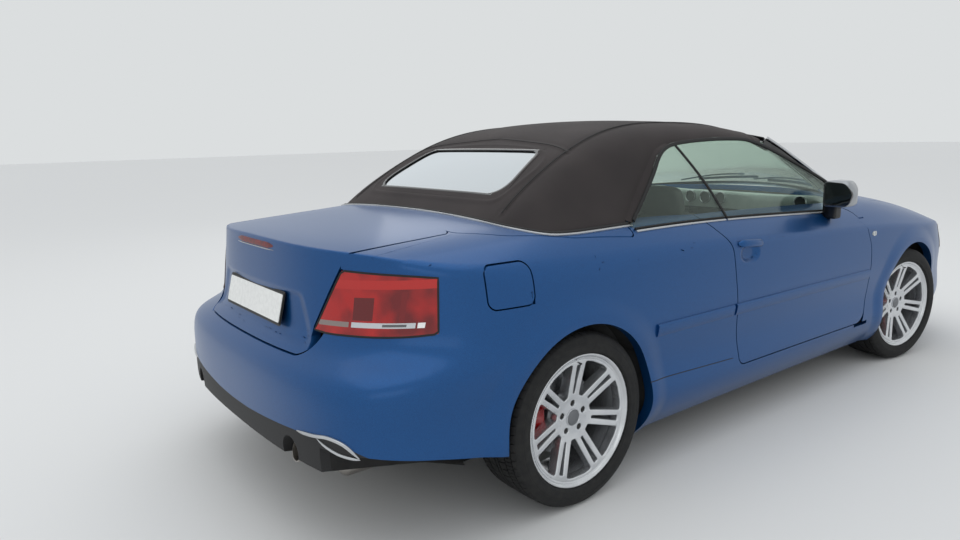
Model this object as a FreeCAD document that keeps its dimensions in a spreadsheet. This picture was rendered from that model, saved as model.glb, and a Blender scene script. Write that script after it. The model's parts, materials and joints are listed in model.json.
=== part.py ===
"""A four seat convertible car with its fabric roof up, built from its own panels.

+X is forward, +Y is to the car's left and +Z is up. The origin is on the ground, under the middle of
the car's length. Sizes are in millimetres. Left hand pieces are mirrored from the right hand ones.
"""
import FreeCAD, Part
import math
import os
from FreeCAD import Vector

doc = FreeCAD.newDocument("Convertible")
sheet = doc.addObject("Spreadsheet::Sheet", "Dimensions")

# alias, millimetres or degrees, what it is
DIMENSIONS = [
    ("overall_length", 4573, "bumper to bumper"),
    ("overall_width", 1777, "over the wheel arches"),
    ("overall_height", 1391, "ground to the top of the fabric roof"),
    ("wheelbase", 2654, "front axle to rear axle"),
    ("front_overhang", 979, "front axle to front bumper"),
    ("track", 1523, "tyre centre to tyre centre"),
    ("skin", 30, "outer panel with its inner stiffening"),
    ("door_depth", 112, "whole door, skin to trim"),
    ("door_flange", 18, "how far the door's box is narrower than its skin"),
    ("panel_gap", 5, "shut line between panels"),
    ("seat_gap", 0.3, "clearance where one piece seats on another"),
    ("fabric", 16, "roof cloth with its padding"),
    ("glass", 5, "window glass"),
    ("tyre_diameter", 645, "tyre over its tread"),
    ("tyre_width", 235, "tyre section"),
    ("rim_diameter", 492, "rim over its flanges"),
    ("rim_width", 212, "rim over its flanges, across"),
    ("rim_wall", 9, "rim barrel wall"),
    ("spoke_pairs", 7, "double spokes in a wheel"),
    ("spoke_width", 20, "one bar of a double spoke, at its face"),
    ("spoke_depth", 34, "one bar of a double spoke, front to back"),
    ("spoke_spread_hub", 32, "between a pair's bars at the hub"),
    ("spoke_spread_rim", 50, "between a pair's bars at the rim"),
    ("hub_radius", 78, "wheel centre boss"),
    ("bolt_circle", 112, "wheel bolts"),
    ("bolt_count", 5, "wheel bolts"),
    ("bolt_radius", 7.5, "wheel bolt hole"),
    ("arch_gap", 36, "wheel arch edge to tread"),
    ("house_gap", 80, "wheel house to tread"),
    ("house_depth", 445, "wheel house, from the body side inwards"),
    ("disc_diameter", 330, "brake disc"),
    ("disc_thickness", 28, "brake disc"),
    ("steer_at_rest", 8, "front wheels turned to the right as it is parked, degrees"),
    ("kingpin_offset", 110, "steering axis inboard of the tyre's middle"),
    ("door_hinge_setback", 62, "door hinge axis behind the door's front edge"),
    ("engine_length", 560, "engine block"),
    ("engine_width", 520, "engine block"),
    ("engine_height", 430, "engine block"),
    ("engine_base", 290, "engine block's underside above the ground"),
    ("tank_length", 420, "fuel tank, along the car"),
    ("tank_width", 760, "fuel tank"),
    ("tank_height", 180, "fuel tank"),
    ("tank_foot", 175, "fuel tank's underside above the ground"),
    ("steering_wheel_radius", 185, "to the middle of the rim"),
    ("steering_rim_radius", 14, "steering wheel rim section"),
    ("tailpipe_radius", 36, "exhaust tailpipe"),
    ("pipe_radius", 28, "exhaust pipe"),
    ("flap_pin_radius", 2.5, "fuel flap hinge pin"),
]
for row, (alias, value, note) in enumerate(DIMENSIONS, start=1):
    sheet.set(f"A{row}", alias)
    sheet.set(f"B{row}", str(value))
    sheet.set(f"C{row}", note)
    sheet.setAlias(f"B{row}", alias)
doc.recompute()


def dim(alias):
    return float(sheet.get(alias))


LENGTH, WIDTH, HEIGHT = dim("overall_length"), dim("overall_width"), dim("overall_height")
FRONT, REAR = LENGTH / 2, -LENGTH / 2
FRONT_AXLE = FRONT - dim("front_overhang")
REAR_AXLE = FRONT_AXLE - dim("wheelbase")
WHEEL_Z = dim("tyre_diameter") / 2
WHEEL_Y = dim("track") / 2
SKIN, GAP, SEAT = dim("skin"), dim("panel_gap"), dim("seat_gap")
ARCH_RADIUS = WHEEL_Z + dim("arch_gap")
HOUSE_RADIUS = WHEEL_Z + dim("house_gap")

# The drawing that the tables below were measured on, end to end and at its axles
DRAWN_X = (-2286.5, -1346.5, 1307.5, 2286.5)
DRAWN_WIDTH, DRAWN_HEIGHT = 1777, 1391


def along(x):
    """A drawn position along the car, moved with the ends and the axles."""
    real = (REAR, REAR_AXLE, FRONT_AXLE, FRONT)
    i = 0 if x < DRAWN_X[1] else 1 if x < DRAWN_X[2] else 2
    share = (x - DRAWN_X[i]) / (DRAWN_X[i + 1] - DRAWN_X[i])
    return real[i] + share * (real[i + 1] - real[i])


def across(y):
    return y * WIDTH / DRAWN_WIDTH


def up(z):
    return z * HEIGHT / DRAWN_HEIGHT


# Shapes from outlines


def outline(points):
    """A closed wire through 3-D points given as (point, corner radius), its corners turned by arcs."""
    edges, starts, ends = [], [], []
    count = len(points)
    for i, (corner, radius) in enumerate(points):
        before, after = points[i - 1][0], points[(i + 1) % count][0]
        if radius <= 0:
            starts.append(corner)
            ends.append(corner)
            edges.append(None)
            continue
        a, b = (before - corner).normalize(), (after - corner).normalize()
        half = a.getAngle(b) / 2
        cut = radius / math.tan(half)
        middle = corner + (a + b).normalize() * (radius / math.sin(half) - radius)
        starts.append(corner + a * cut)
        ends.append(corner + b * cut)
        edges.append(Part.Arc(starts[-1], middle, ends[-1]).toShape())
    wire = []
    for i in range(count):
        if edges[i]:
            wire.append(edges[i])
        wire.append(Part.LineSegment(ends[i], starts[(i + 1) % count]).toShape())
    return Part.Wire(wire)


def grown(wire, distance):
    return wire.makeOffset2D(distance, 0) if distance else wire


def side_prism(points, y_from, y_to, grow=0.0):
    """Drawn (x, z, corner radius) points, extruded across the car."""
    wire = outline([(Vector(along(x), y_from, up(z)), r) for x, z, r in points])
    return Part.Face(grown(wire, grow)).extrude(Vector(0, y_to - y_from, 0))


def plan_prism(points, z_from, z_to, grow=0.0):
    """Drawn (x, y, corner radius) points, extruded upwards."""
    wire = outline([(Vector(along(x), across(y), z_from), r) for x, y, r in points])
    return Part.Face(grown(wire, grow)).extrude(Vector(0, 0, z_to - z_from))


def end_prism(points, x_from, x_to, grow=0.0):
    """Drawn (y, z, corner radius) points, extruded along the car."""
    wire = outline([(Vector(x_from, across(y), up(z)), r) for y, z, r in points])
    return Part.Face(grown(wire, grow)).extrude(Vector(x_to - x_from, 0, 0))


def both_sides(half):
    """Outline points of a right hand edge, carried round to the left: (x, y, r) with y below zero first."""
    return half + [(x, -y, r) for x, y, r in reversed(half)]


def both_sides_end(half):
    return half + [(-y, z, r) for y, z, r in reversed(half)]


def block(x0, x1, y0, y1, z0, z1):
    """A plain block from real positions, lowest corner first."""
    return Part.makeBox(x1 - x0, y1 - y0, z1 - z0, Vector(x0, y0, z0))


def mirrored(shape):
    return shape.mirror(Vector(0, 0, 0), Vector(0, 1, 0))


def pair(shape):
    return Part.makeCompound([shape, mirrored(shape)])


def fused(shapes):
    return shapes[0].multiFuse(shapes[1:]) if len(shapes) > 1 else shapes[0]


def solids_over(shape, volume):
    """The solids of a cut that are more than a sliver."""
    kept = [s for s in shape.Solids if s.Volume > volume]
    return kept[0] if len(kept) == 1 else Part.makeCompound(kept)


RIGHT = block(REAR - 500, FRONT + 500, -WIDTH, 0, -100, 2 * HEIGHT)

# The body's outer surface: a wall that runs round the car, under a top that crowns over it

# plan outline, rear centre to front centre: x and y at the bumpers, x and y at the deck
PLAN = [
    (-2290, 0, -2168, 0),
    (-2290, 260, -2168, 250),
    (-2266, 560, -2127, 480),
    (-2193, 775, -1997, 693),
    (-2013, 867, -1842, 803),
    (-1753, 887, -1640, 853),
    (-1402, 894, -1350, 871),
    (-901, 891, -900, 873),
    (-300, 888, -300, 871),
    (300, 888, 300, 869),
    (851, 890, 850, 865),
    (1352, 894, 1350, 855),
    (1703, 874, 1650, 838),
    (1993, 792, 1902, 748),
    (2183, 690, 2062, 640),
    (2266, 520, 2132, 465),
    (2290, 260, 2167, 240),
    (2290, 0, 2167, 0),
]
# height, tuck under, share of the deck outline at the rear, the front and the side, hollow of the side
WALL_ROWS = [
    (170, 80, 0, 0, 0, 0),
    (205, 45, 0, 0, 0, 0),
    (260, 15, 0, 0, 0, 0),
    (320, 2, 0, 0, 0, 0),
    (380, 0, 0, 0, 0, 9),
    (440, 0, 0, 0, 0, 17),
    (500, 0, 0, 0.05, 0, 14),
    (555, 0, 0.02, 0.1, 0, 6),
    (610, 0, 0.10, 0.2, 0.05, 1),
    (650, 0, 0.55, 0.35, 0.12, 0),
    (690, 0, 0.82, 0.5, 0.2, 0),
    (770, 0, 0.90, 0.7, 0.45, 0),
    (860, 0, 0.96, 0.9, 0.8, 0),
    (950, 0, 1.02, 1.1, 1.25, 0),
    (1060, 0, 1.08, 1.3, 1.9, 0),
]
END_COLUMNS = 5
# along the car, height at the middle and at y 560, 700, 780 and 866
TOP_STATIONS = [
    (-2350, 975, 950, 925, 895, 850),
    (-2166, 1000, 975, 948, 905, 862),
    (-2000, 1004, 990, 962, 925, 880),
    (-1800, 1014, 1002, 975, 940, 893),
    (-1600, 1030, 1015, 990, 955, 900),
    (-1300, 1048, 1034, 1010, 975, 905),
    (-900, 1055, 1040, 1018, 985, 903),
    (-450, 1050, 1035, 1010, 975, 893),
    (0, 1035, 1020, 992, 958, 866),
    (450, 1015, 1000, 972, 938, 848),
    (900, 995, 975, 950, 912, 828),
    (1150, 975, 955, 930, 892, 812),
    (1500, 925, 900, 872, 835, 780),
    (1750, 870, 840, 810, 780, 745),
    (1950, 805, 775, 745, 715, 690),
    (2120, 735, 705, 670, 640, 620),
    (2350, 630, 600, 570, 540, 520),
]
TOP_Y = (0, 280, 560, 700, 780, 866, 990)
TOP_CROWN, TOP_FLANK_SLOPE = 0.2, 1.3
# fabric roof, along the car, then its height at each y of ROOF_Y
ROOF_STATIONS = [
    (330, 1296, 1288, 1266, 1243, 1215, 1120, 960, 880),
    (190, 1340, 1332, 1312, 1290, 1262, 1140, 960, 880),
    (0, 1377, 1369, 1350, 1322, 1284, 1145, 960, 870),
    (-300, 1396, 1389, 1370, 1340, 1294, 1150, 960, 870),
    (-620, 1393, 1387, 1371, 1338, 1288, 1150, 962, 870),
    (-860, 1361, 1357, 1347, 1315, 1265, 1140, 970, 870),
    (-1080, 1282, 1281, 1276, 1255, 1215, 1115, 975, 870),
    (-1280, 1172, 1172, 1168, 1155, 1130, 1075, 975, 860),
    (-1430, 1078, 1078, 1074, 1062, 1045, 1010, 950, 850),
    (-1520, 1000, 1000, 994, 980, 965, 935, 890, 830),
    (-1620, 920, 920, 915, 900, 885, 860, 820, 780),
]
ROOF_Y = (0, 300, 500, 585, 632, 690, 765, 800)


def spline_face(poles):
    """A smooth cubic surface over a net of poles."""
    degree = 3

    def knots(count):
        inner = count - degree
        return [i / inner for i in range(inner + 1)], [degree + 1] + [1] * (inner - 1) + [degree + 1]

    surface = Part.BSplineSurface()
    (u_knots, u_mults), (v_knots, v_mults) = knots(len(poles)), knots(len(poles[0]))
    surface.buildFromPolesMultsKnots(
        poles, u_mults, v_mults, u_knots, v_knots, False, False, degree, degree
    )
    return surface.toShape()


def wall_solid(inset):
    """Everything inside the body's side wall, moved in by inset."""
    net = []
    last = len(PLAN) - 1
    for height, tuck, rear_share, front_share, side_share, hollow in WALL_ROWS:
        row = []
        for i, (x_low, y_low, x_high, y_high) in enumerate(PLAN):
            at_rear, at_front = i < END_COLUMNS, i > last - END_COLUMNS
            share = rear_share if at_rear else front_share if at_front else side_share
            x = along(x_low) + (along(x_high) - along(x_low)) * share
            y = across(y_low + (y_high - y_low) * share)
            facing_end = max(0.0, 1 - min(i, last - i) / END_COLUMNS)
            inwards = tuck + inset
            x -= math.copysign(inwards * min(1.0, 1.6 * facing_end), x)
            if 0 < i < last:
                corner = 0.3 if facing_end < 0.9 else 0.0
                y -= inwards * min(1.0, 1.6 * (1 - facing_end) + corner) + hollow * (1 - facing_end)
            row.append((x, y))
        net.append(
            [Vector(x, -y, up(height)) for x, y in row] + [Vector(x, y, up(height)) for x, y in row[-2::-1]]
        )
    face = spline_face(net)
    flat = [e for e in face.Edges if e.isClosed() and e.BoundBox.ZLength < 1e-3]
    skin = Part.makeShell([face] + [Part.Face(Part.Wire([e])) for e in flat])
    skin.sewShape()
    return Part.Solid(skin)


def half_net(stations, ys, heights_of, drop):
    net = []
    for station in stations:
        half = [(across(y), up(z) - drop) for y, z in zip(ys, heights_of(station))]
        row = [Vector(along(station[0]), -y, z) for y, z in reversed(half)]
        net.append(row + [Vector(along(station[0]), y, z) for y, z in half[1:]])
    return net


def top_heights(station):
    _, middle, z560, z700, z780, z866 = station
    flank = z866 - TOP_FLANK_SLOPE * (TOP_Y[6] - TOP_Y[5])
    return middle, middle - TOP_CROWN * (middle - z560), z560, z700, z780, z866, flank


def under_top(drop):
    """Everything under the bonnet, shoulder and deck surface, lowered by drop."""
    face = spline_face(half_net(TOP_STATIONS, TOP_Y, top_heights, drop))
    return face.extrude(Vector(0, 0, -HEIGHT))


def under_roof(inset):
    """Everything under the fabric roof's surface, moved in by inset."""
    lean = 1.12
    net = []
    for station in ROOF_STATIONS:
        half = [
            (across(y) - inset * min(1.0, i / 3), up(z) - inset * (1 if i < 4 else lean - 1))
            for i, (y, z) in enumerate(zip(ROOF_Y, station[1:]))
        ]
        half[0] = (0.0, half[0][1])
        x = along(station[0]) + inset * (0.55 if station[0] < -1000 else 0.0)
        net.append([Vector(x, -y, z) for y, z in reversed(half)] + [Vector(x, y, z) for y, z in half[1:]])
    return spline_face(net).extrude(Vector(0, 0, -HEIGHT))


def hull(inset):
    return wall_solid(inset).common(under_top(inset))


# Panel outlines, on the drawing: (x, z) from the side, (x, y) from above, (y, z) from an end
DOOR = [
    (612, 1100, 0), (560, 965, 50), (712, 893, 60), (784, 720, 140), (784, 480, 160), (735, 320, 90),
    (-388, 327, 40), (-425, 600, 200), (-455, 850, 150), (-576, 998, 30), (-600, 1100, 0),
]
DOOR_FRONT = 784
# the bonnet's outline leans forward as it rises, square to its hinge: x and y at the skin, its height there
BONNET = [(1128, -700, 932, 12), (1550, -690, 862, 200), (1900, -610, 770, 200), (2105, -440, 706, 60)]
BONNET_LEAN = 0.27
LID_PLAN = both_sides([(-1673, -567, 60), (-2080, -600, 0), (-2600, -600, 0)])
LID_END = both_sides_end([(-610, 1200, 0), (-616, 958, 30), (-500, 757, 60), (-440, 646, 55)])
COVER = both_sides([
    (-1673, -567, 60), (-1540, -690, 200), (-1300, -775, 200), (-1010, -812, 20), (-1000, -720, 20),
    (-1330, -640, 120), (-1440, -520, 60),
])
LAMP_END = [(-622, 952, 10), (-800, 912, 10), (-1000, 868, 0), (-1000, 722, 0), (-760, 732, 60), (-503, 757, 10)]
LAMP_BACK = -1885
REAR_BUMPER = [
    (-2600, 100, 0), (-2600, 760, 0), (-1926, 760, 0), (-1922, 612, 60), (-1560, 540, 30), (-1500, 500, 0),
    (-1500, 100, 0),
]
FRONT_BUMPER = [
    (2600, 100, 0), (2600, 655, 0), (1990, 655, 0), (1900, 600, 40), (1760, 560, 60), (1640, 500, 30),
    (1600, 440, 0), (1600, 100, 0),
]
HEADLAMP_END = [(-395, 706, 12), (-395, 588, 25), (-560, 560, 30), (-1000, 590, 0), (-1000, 720, 0), (-640, 735, 0)]
HEADLAMP_BACK = 1845
GRILLE_END = both_sides_end([(-345, 715, 25), (-330, 520, 60), (-245, 290, 30)])
SILL = [
    (1010, 100, 0), (1010, 322, 0), (735, 320, 0), (-386, 327, 0), (-386, 352, 0), (-969, 376, 0),
    (-1010, 376, 0), (-1010, 100, 0),
]
CABIN = both_sides([
    (985, -250, 300), (690, -680, 120), (560, -730, 100), (-560, -748, 60), (-1000, -722, 0),
    (-1330, -642, 120), (-1442, -522, 60),
])
WINDOW = [
    (600, 905, 0), (600, 1030, 25), (60, 1262, 60), (-60, 1293, 150), (-250, 1296, 300), (-560, 1281, 300),
    (-705, 1243, 100), (-990, 990, 10), (-985, 905, 0),
]
BEHIND_DOOR_GLASS = [(-380, 850, 0), (-380, 966, 100), (-580, 1290, 0), (-600, 1400, 0), (-1500, 1400, 0), (-1500, 850, 0)]
GLASS_ARC = [(-800, 890), (-735, 1105), (-641, 1290)]
SCREEN_BASE = [(790, -700, 948), (1075, 0, 985)]
SCREEN_HEAD = [(165, -628, 1284), (235, 0, 1337)]
SCREEN_DEPTH = (-42, -14)
SCREEN_OPENING = [(-652, 900, 0), (-640, 1000, 40), (-578, 1262, 45), (-300, 1298, 300)]
REAR_WINDOW = both_sides([(-1085, -392, 45), (-1385, -478, 50)])
FLAP = [(-1738, 790, 28), (-1738, 925, 28), (-1568, 925, 28), (-1568, 790, 28)]
RAMPS = [
    [(1690, 0, 0), (1690, 170, 0), (2000, 185, 200), (2600, 255, 0), (2600, 0, 0)],
    [(-1690, 0, 0), (-1690, 170, 0), (-1860, 235, 200), (-2600, 400, 0), (-2600, 0, 0)],
]
# outboard of this the rear bumper's lower edge is higher
CORNER_Y = 620
REAR_CORNER = [(-1560, 0, 0), (-1560, 275, 0), (-1950, 358, 300), (-2150, 393, 200), (-2600, 425, 0), (-2600, 0, 0)]


def leaning_prism(points, lean, z_from, z_to, grow=0.0):
    """Drawn (x, y, height, corner radius) points of a right hand edge, carried round, leaning forward."""
    half = [(x - lean * (z - z_from), y, r) for x, y, z, r in points]
    points = [(Vector(along(x), across(y), z_from), r) for x, y, r in both_sides(half)]
    return Part.Face(grown(outline(points), grow)).extrude(Vector(lean * (z_to - z_from), 0, z_to - z_from))


def across_car(axle, radius, inner_y):
    """A cylinder on an axle's line, on both sides, from inner_y outwards."""
    right = Part.makeCylinder(radius, WIDTH, Vector(axle, -inner_y, WHEEL_Z), Vector(0, -1, 0))
    return right.fuse(mirrored(right))


def ramped(shape):
    """Cuts the rising undersides of the nose and the tail."""
    ramps = [side_prism(ramp, -WIDTH, WIDTH) for ramp in RAMPS]
    return shape.cut(fused(ramps + [pair(side_prism(REAR_CORNER, -WIDTH, -across(CORNER_Y)))]))


outer = ramped(hull(0))
inner = hull(SKIN)
steered_reach = math.hypot(WHEEL_Z, dim("kingpin_offset") + dim("tyre_width") / 2) + GAP + 2
kingpin_at = Vector(FRONT_AXLE, WHEEL_Y - dim("kingpin_offset"), WHEEL_Z)
shell = outer.cut(inner).cut(pair(Part.makeSphere(steered_reach, kingpin_at)))
door_inner = WIDTH / 2 - dim("door_depth")
arches = across_car(FRONT_AXLE, ARCH_RADIUS, 700).fuse(across_car(REAR_AXLE, ARCH_RADIUS, 700))
door_zone = side_prism(DOOR, -WIDTH, -across(700))
door_cut = pair(side_prism(DOOR, -WIDTH, -across(700), GAP))
HINGE_X = along(DOOR_FRONT) - dim("door_hinge_setback")
HINGE_Y = WIDTH / 2 - 24
hinge_sweep = math.hypot(dim("door_hinge_setback"), 24) + GAP
hinge_cut = pair(Part.makeCylinder(hinge_sweep, up(460), Vector(HINGE_X, -HINGE_Y, up(300))))
bonnet_cut = leaning_prism(BONNET, BONNET_LEAN, up(560), up(1300), GAP)
flap_cut = side_prism(FLAP, -WIDTH, -across(780), GAP)
lid_cut = plan_prism(LID_PLAN, up(500), up(1300), GAP).common(end_prism(LID_END, REAR - 500, 0, GAP))
cover_cut = plan_prism(COVER, up(800), up(1300), GAP)
lamp_cut = pair(end_prism(LAMP_END, REAR - 500, along(LAMP_BACK), 0))
headlamp_cut = pair(end_prism(HEADLAMP_END, along(HEADLAMP_BACK), FRONT + 500, 0))
grille_cut = end_prism(GRILLE_END, along(1980), FRONT + 500, 0)
cabin_cut = plan_prism(CABIN, up(860), up(1300))
bumper_zone = side_prism(REAR_BUMPER, -WIDTH, WIDTH)
nose_zone = side_prism(FRONT_BUMPER, -WIDTH, WIDTH)
sill_zone = side_prism(SILL, -WIDTH, WIDTH)

pieces = {}


def keep(label, shape, placement=None):
    """Adds a finished piece to the document under its plain name."""
    feature = doc.addObject("Part::Feature", label)
    feature.Shape = shape
    feature.Label = label
    if placement is not None:
        feature.Placement = placement
    pieces[label] = feature
    return feature


# Body panels

rest = shell.cut(fused([arches, door_cut, bonnet_cut, lid_cut, cover_cut, cabin_cut, hinge_cut]))
rest = rest.cut(fused([lamp_cut, headlamp_cut, flap_cut]))


def tailpipe(sign, radius, start, length):
    """A round bar on a tailpipe's line, from start behind the silencer."""
    lean = Vector(-1, 0, 0.3)
    at = Vector(along(-2095), sign * across(460), up(294)) + lean * start
    return Part.makeCylinder(radius, length, at, lean)


pipe_room = fused([tailpipe(sign, dim("tailpipe_radius") + 10, -SEAT, 300) for sign in (-1, 1)])
rear_bumper = rest.common(bumper_zone).cut(sill_zone).cut(pipe_room)
keep("rear_bumper", solids_over(rear_bumper, 1e5))
rest = rest.cut(bumper_zone)
front_bumper = rest.common(nose_zone).cut(grille_cut)
keep("front_bumper", solids_over(front_bumper, 1e5))
rest = rest.cut(nose_zone).cut(grille_cut)
ahead = block(along(780), FRONT + 100, -WIDTH, WIDTH, up(321), 2 * HEIGHT)
ahead = ahead.fuse(block(along(560), FRONT, -across(828), across(828), up(830), 2 * HEIGHT))
keep("front_fenders", solids_over(rest.common(ahead), 1e5))
side_panels = rest.cut(ahead)

cover = shell.common(plan_prism(COVER, up(800), up(1300))).cut(cabin_cut)
keep("roof_well_cover", solids_over(cover, 1e5))
bonnet = shell.common(leaning_prism(BONNET, BONNET_LEAN, up(560), up(1300)))
keep("bonnet", solids_over(bonnet.cut(nose_zone), 1e5))
lid = shell.common(plan_prism(LID_PLAN, up(500), up(1300))).common(end_prism(LID_END, REAR - 500, 0))
keep("boot_lid", solids_over(lid, 1e5))
keep("tail_lamps", solids_over(shell.common(lamp_cut).cut(lid_cut).cut(bumper_zone), 1e4))
headlamps = shell.common(headlamp_cut).cut(fused([bonnet_cut, nose_zone, grille_cut]))
keep("headlamps", solids_over(headlamps, 1e4))
grille = hull(12).cut(hull(30)).common(grille_cut).cut(bonnet_cut)
keep("grille", solids_over(grille, 1e4))

# the fuel flap turns on a short upright pin in its front edge, near its foot
flap_skin = outer.cut(hull(12)).common(side_prism(FLAP, -WIDTH, -across(780)))
FLAP_HINGE_X, FLAP_FOOT = along(FLAP[2][0]) - 9, up(FLAP[0][1])
eye = Part.Vertex(FLAP_HINGE_X, -WIDTH / 2 - 5, FLAP_FOOT + 5)
FLAP_HINGE_Y = WIDTH / 2 + 5 - outer.distToShape(eye)[0] - 5.5


def flap_pin(radius, height):
    return Part.makeCylinder(radius, height, Vector(FLAP_HINGE_X, -FLAP_HINGE_Y, FLAP_FOOT - 22))


PIN_R = dim("flap_pin_radius")
keep("fuel_flap", solids_over(flap_skin.cut(flap_pin(PIN_R + 1, 62)), 1e3))

# Side glass: a band of a cylinder that leans in, cut to the windows' outline


def arc_band(points, shift, thickness):
    """A band along the car, between arcs through (y, z) points moved in by shift and by shift + thickness."""
    a, b, c = [Vector(REAR, across(y), up(z)) for y, z in points]
    circle = Part.Circle(a, b, c)
    middle, radius = circle.Center, circle.Radius

    def moved(distance):
        return [middle + (p - middle) * ((radius - distance) / radius) for p in (a, b, c)]

    outside, inside = moved(shift), moved(shift + thickness)
    edges = [
        Part.Arc(*outside).toShape(),
        Part.LineSegment(outside[2], inside[2]).toShape(),
        Part.Arc(*inside).toShape(),
        Part.LineSegment(inside[0], outside[0]).toShape(),
    ]
    return Part.Face(Part.Wire(Part.__sortEdges__(edges))).extrude(Vector(LENGTH, 0, 0))


window_zone = side_prism(WINDOW, -WIDTH, -100)
behind_zone = side_prism(BEHIND_DOOR_GLASS, -WIDTH, -100)
band = arc_band(GLASS_ARC, 0, dim("glass"))
slot_band = arc_band(GLASS_ARC, -SEAT, dim("glass") + 2 * SEAT)
slot = slot_band.common(side_prism(WINDOW, -WIDTH, -100, SEAT))
door_glass = band.common(window_zone).cut(side_prism(BEHIND_DOOR_GLASS, -WIDTH, -100, GAP + 1))
quarter_glass = band.common(window_zone).common(behind_zone)

door_skin = shell.common(door_zone)
door_box = hull(SKIN - 5).common(side_prism(DOOR, -WIDTH, -door_inner, -dim("door_flange")))
door = door_skin.fuse(door_box).cut(cabin_cut).cut(slot)
for side, turn in (("right", lambda s: s), ("left", mirrored)):
    keep(f"door_{side}", turn(solids_over(door, 1e5)))
    keep(f"door_glass_{side}", turn(solids_over(door_glass, 1e4)))
keep("quarter_windows", pair(solids_over(quarter_glass, 1e4)))

# Windscreen in its frame


def arched(points, move=(0, 0, 0)):
    (x0, y0, z0), (x1, y1, z1) = points
    dx, dy, dz = move
    ends = [Vector(along(x0) + dx, sign * (across(-y0) + dy), up(z0) + dz) for sign in (-1, 1)]
    return Part.Arc(ends[0], Vector(along(x1) + dx, 0, up(z1) + dz), ends[1]).toShape()


def screen_block(front, depth, wider=0.0):
    """The screen's curved face from base to header, moved by front and given a depth back and down."""
    move = (front, wider, front / 3)
    face = Part.makeRuledSurface(arched(SCREEN_BASE, move), arched(SCREEN_HEAD, move))
    return face.extrude(Vector(depth * SCREEN_DEPTH[0], 0, depth * SCREEN_DEPTH[1]))


outer_clear = hull(-SEAT)
opening = end_prism(both_sides_end(SCREEN_OPENING), 0, FRONT)
frame = screen_block(0, 1).cut(opening).cut(outer_clear)
keep("windscreen_frame", solids_over(frame, 1e5))
glass_zone = end_prism(both_sides_end(SCREEN_OPENING), 0, FRONT, -SEAT)
windscreen = screen_block(-4, 0.14).common(glass_zone).cut(outer_clear)
keep("windscreen", solids_over(windscreen, 1e4))

# Fabric roof with its glass rear window

cloth = under_roof(0).cut(under_roof(dim("fabric")))
roof_plan = plan_prism(both_sides([(232, -200, 400), (140, -700, 50), (140, -900, 0), (-1800, -900, 0)]), 700, 1500)
window_holes = pair(side_prism(WINDOW, -WIDTH, -across(500), GAP))
rear_hole = plan_prism(REAR_WINDOW, 700, 1500)
cloth = cloth.common(roof_plan).cut(fused([window_holes, rear_hole, outer_clear]))
cloth = cloth.cut(screen_block(SEAT, 1.6, 1.0))
keep("soft_top", solids_over(cloth, 1e5))
rear_glass = under_roof(4).cut(under_roof(4 + dim("glass")))
rear_glass = rear_glass.common(plan_prism(REAR_WINDOW, 700, 1500, -SEAT))
keep("rear_window", solids_over(rear_glass, 1e4))

# The body's structure: floor, sills, pillars, bulkheads and wheel houses, hollowed for what goes inside

seated = ramped(hull(SKIN + SEAT))
FLOOR_Z, TUNNEL_Z, SEAT_BASE_Z, BOOT_Z = up(200), up(330), up(380), up(330)
CABIN_HALF = WIDTH / 2 - 146
FRONT_HOUSE_Y = WIDTH / 2 - dim("house_depth")
REAR_HOUSE_Y = WIDTH / 2 - 293
HIGH = 2 * HEIGHT
cabin_voids = [
    block(along(-540), along(885), -CABIN_HALF, CABIN_HALF, FLOOR_Z, HIGH),
    block(along(880), along(985), -FRONT_HOUSE_Y + 23, FRONT_HOUSE_Y - 23, FLOOR_Z, HIGH),
    block(along(880), along(985), -CABIN_HALF, CABIN_HALF, up(600), HIGH),
    block(along(-1000), along(-540), -575, 575, SEAT_BASE_Z, HIGH),
    block(along(-1000), along(-540), -735, 735, up(725), HIGH),
    block(along(-1480), along(-1040), -560, 560, up(560), HIGH),
    block(along(-2085), along(-1500), -500, 500, BOOT_Z, HIGH),
    block(REAR - 100, along(-2084), -430, 430, up(668), HIGH),
    block(along(1045), along(2040), -400, 400, up(230), HIGH),
]
tunnel = block(along(-541), along(986), -100, 100, up(170), TUNNEL_Z)
TANK = [along(-970), along(-970) + dim("tank_length"), -dim("tank_width") / 2, dim("tank_width") / 2]
TANK_TOP = dim("tank_foot") + dim("tank_height")
under_cuts = [
    block(along(-1950), along(1046), -75, 75, 0, up(290)),
    block(TANK[0] - SEAT, TANK[1] + SEAT, TANK[2] - SEAT, TANK[3] + SEAT, 0, TANK_TOP + SEAT),
    block(REAR - 100, along(-1725), -520, 520, 0, up(305)),
    block(REAR_AXLE - 150, REAR_AXLE + 150, -594, 594, 0, up(200)),
]
houses = [
    across_car(FRONT_AXLE, HOUSE_RADIUS, FRONT_HOUSE_Y),
    across_car(REAR_AXLE, WHEEL_Z + 52, REAR_HOUSE_Y),
]
underbody = seated.cut(fused(cabin_voids)).fuse(tunnel.common(seated))
underbody = underbody.cut(fused(under_cuts)).cut(fused(houses))
underbody = underbody.cut(door_cut).cut(hinge_cut)
# room under the bonnet and the boot lid, and a gutter round each one's hinge line
lids = bonnet_cut.fuse(lid_cut)
underbody = underbody.cut(lids.cut(hull(SKIN + GAP + 1)))
for hinge_x, hinge_z in ((1138, 979), (-1684, 1024)):
    at = Vector(along(hinge_x), -across(700), up(hinge_z))
    underbody = underbody.cut(Part.makeCylinder(66, 2 * across(700), at, Vector(0, 1, 0)))
flap_pocket = side_prism(FLAP, -WIDTH, -across(790), GAP)
underbody = underbody.cut(fused([flap_pocket, slot, mirrored(slot), cover_cut, pipe_room]))
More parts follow.
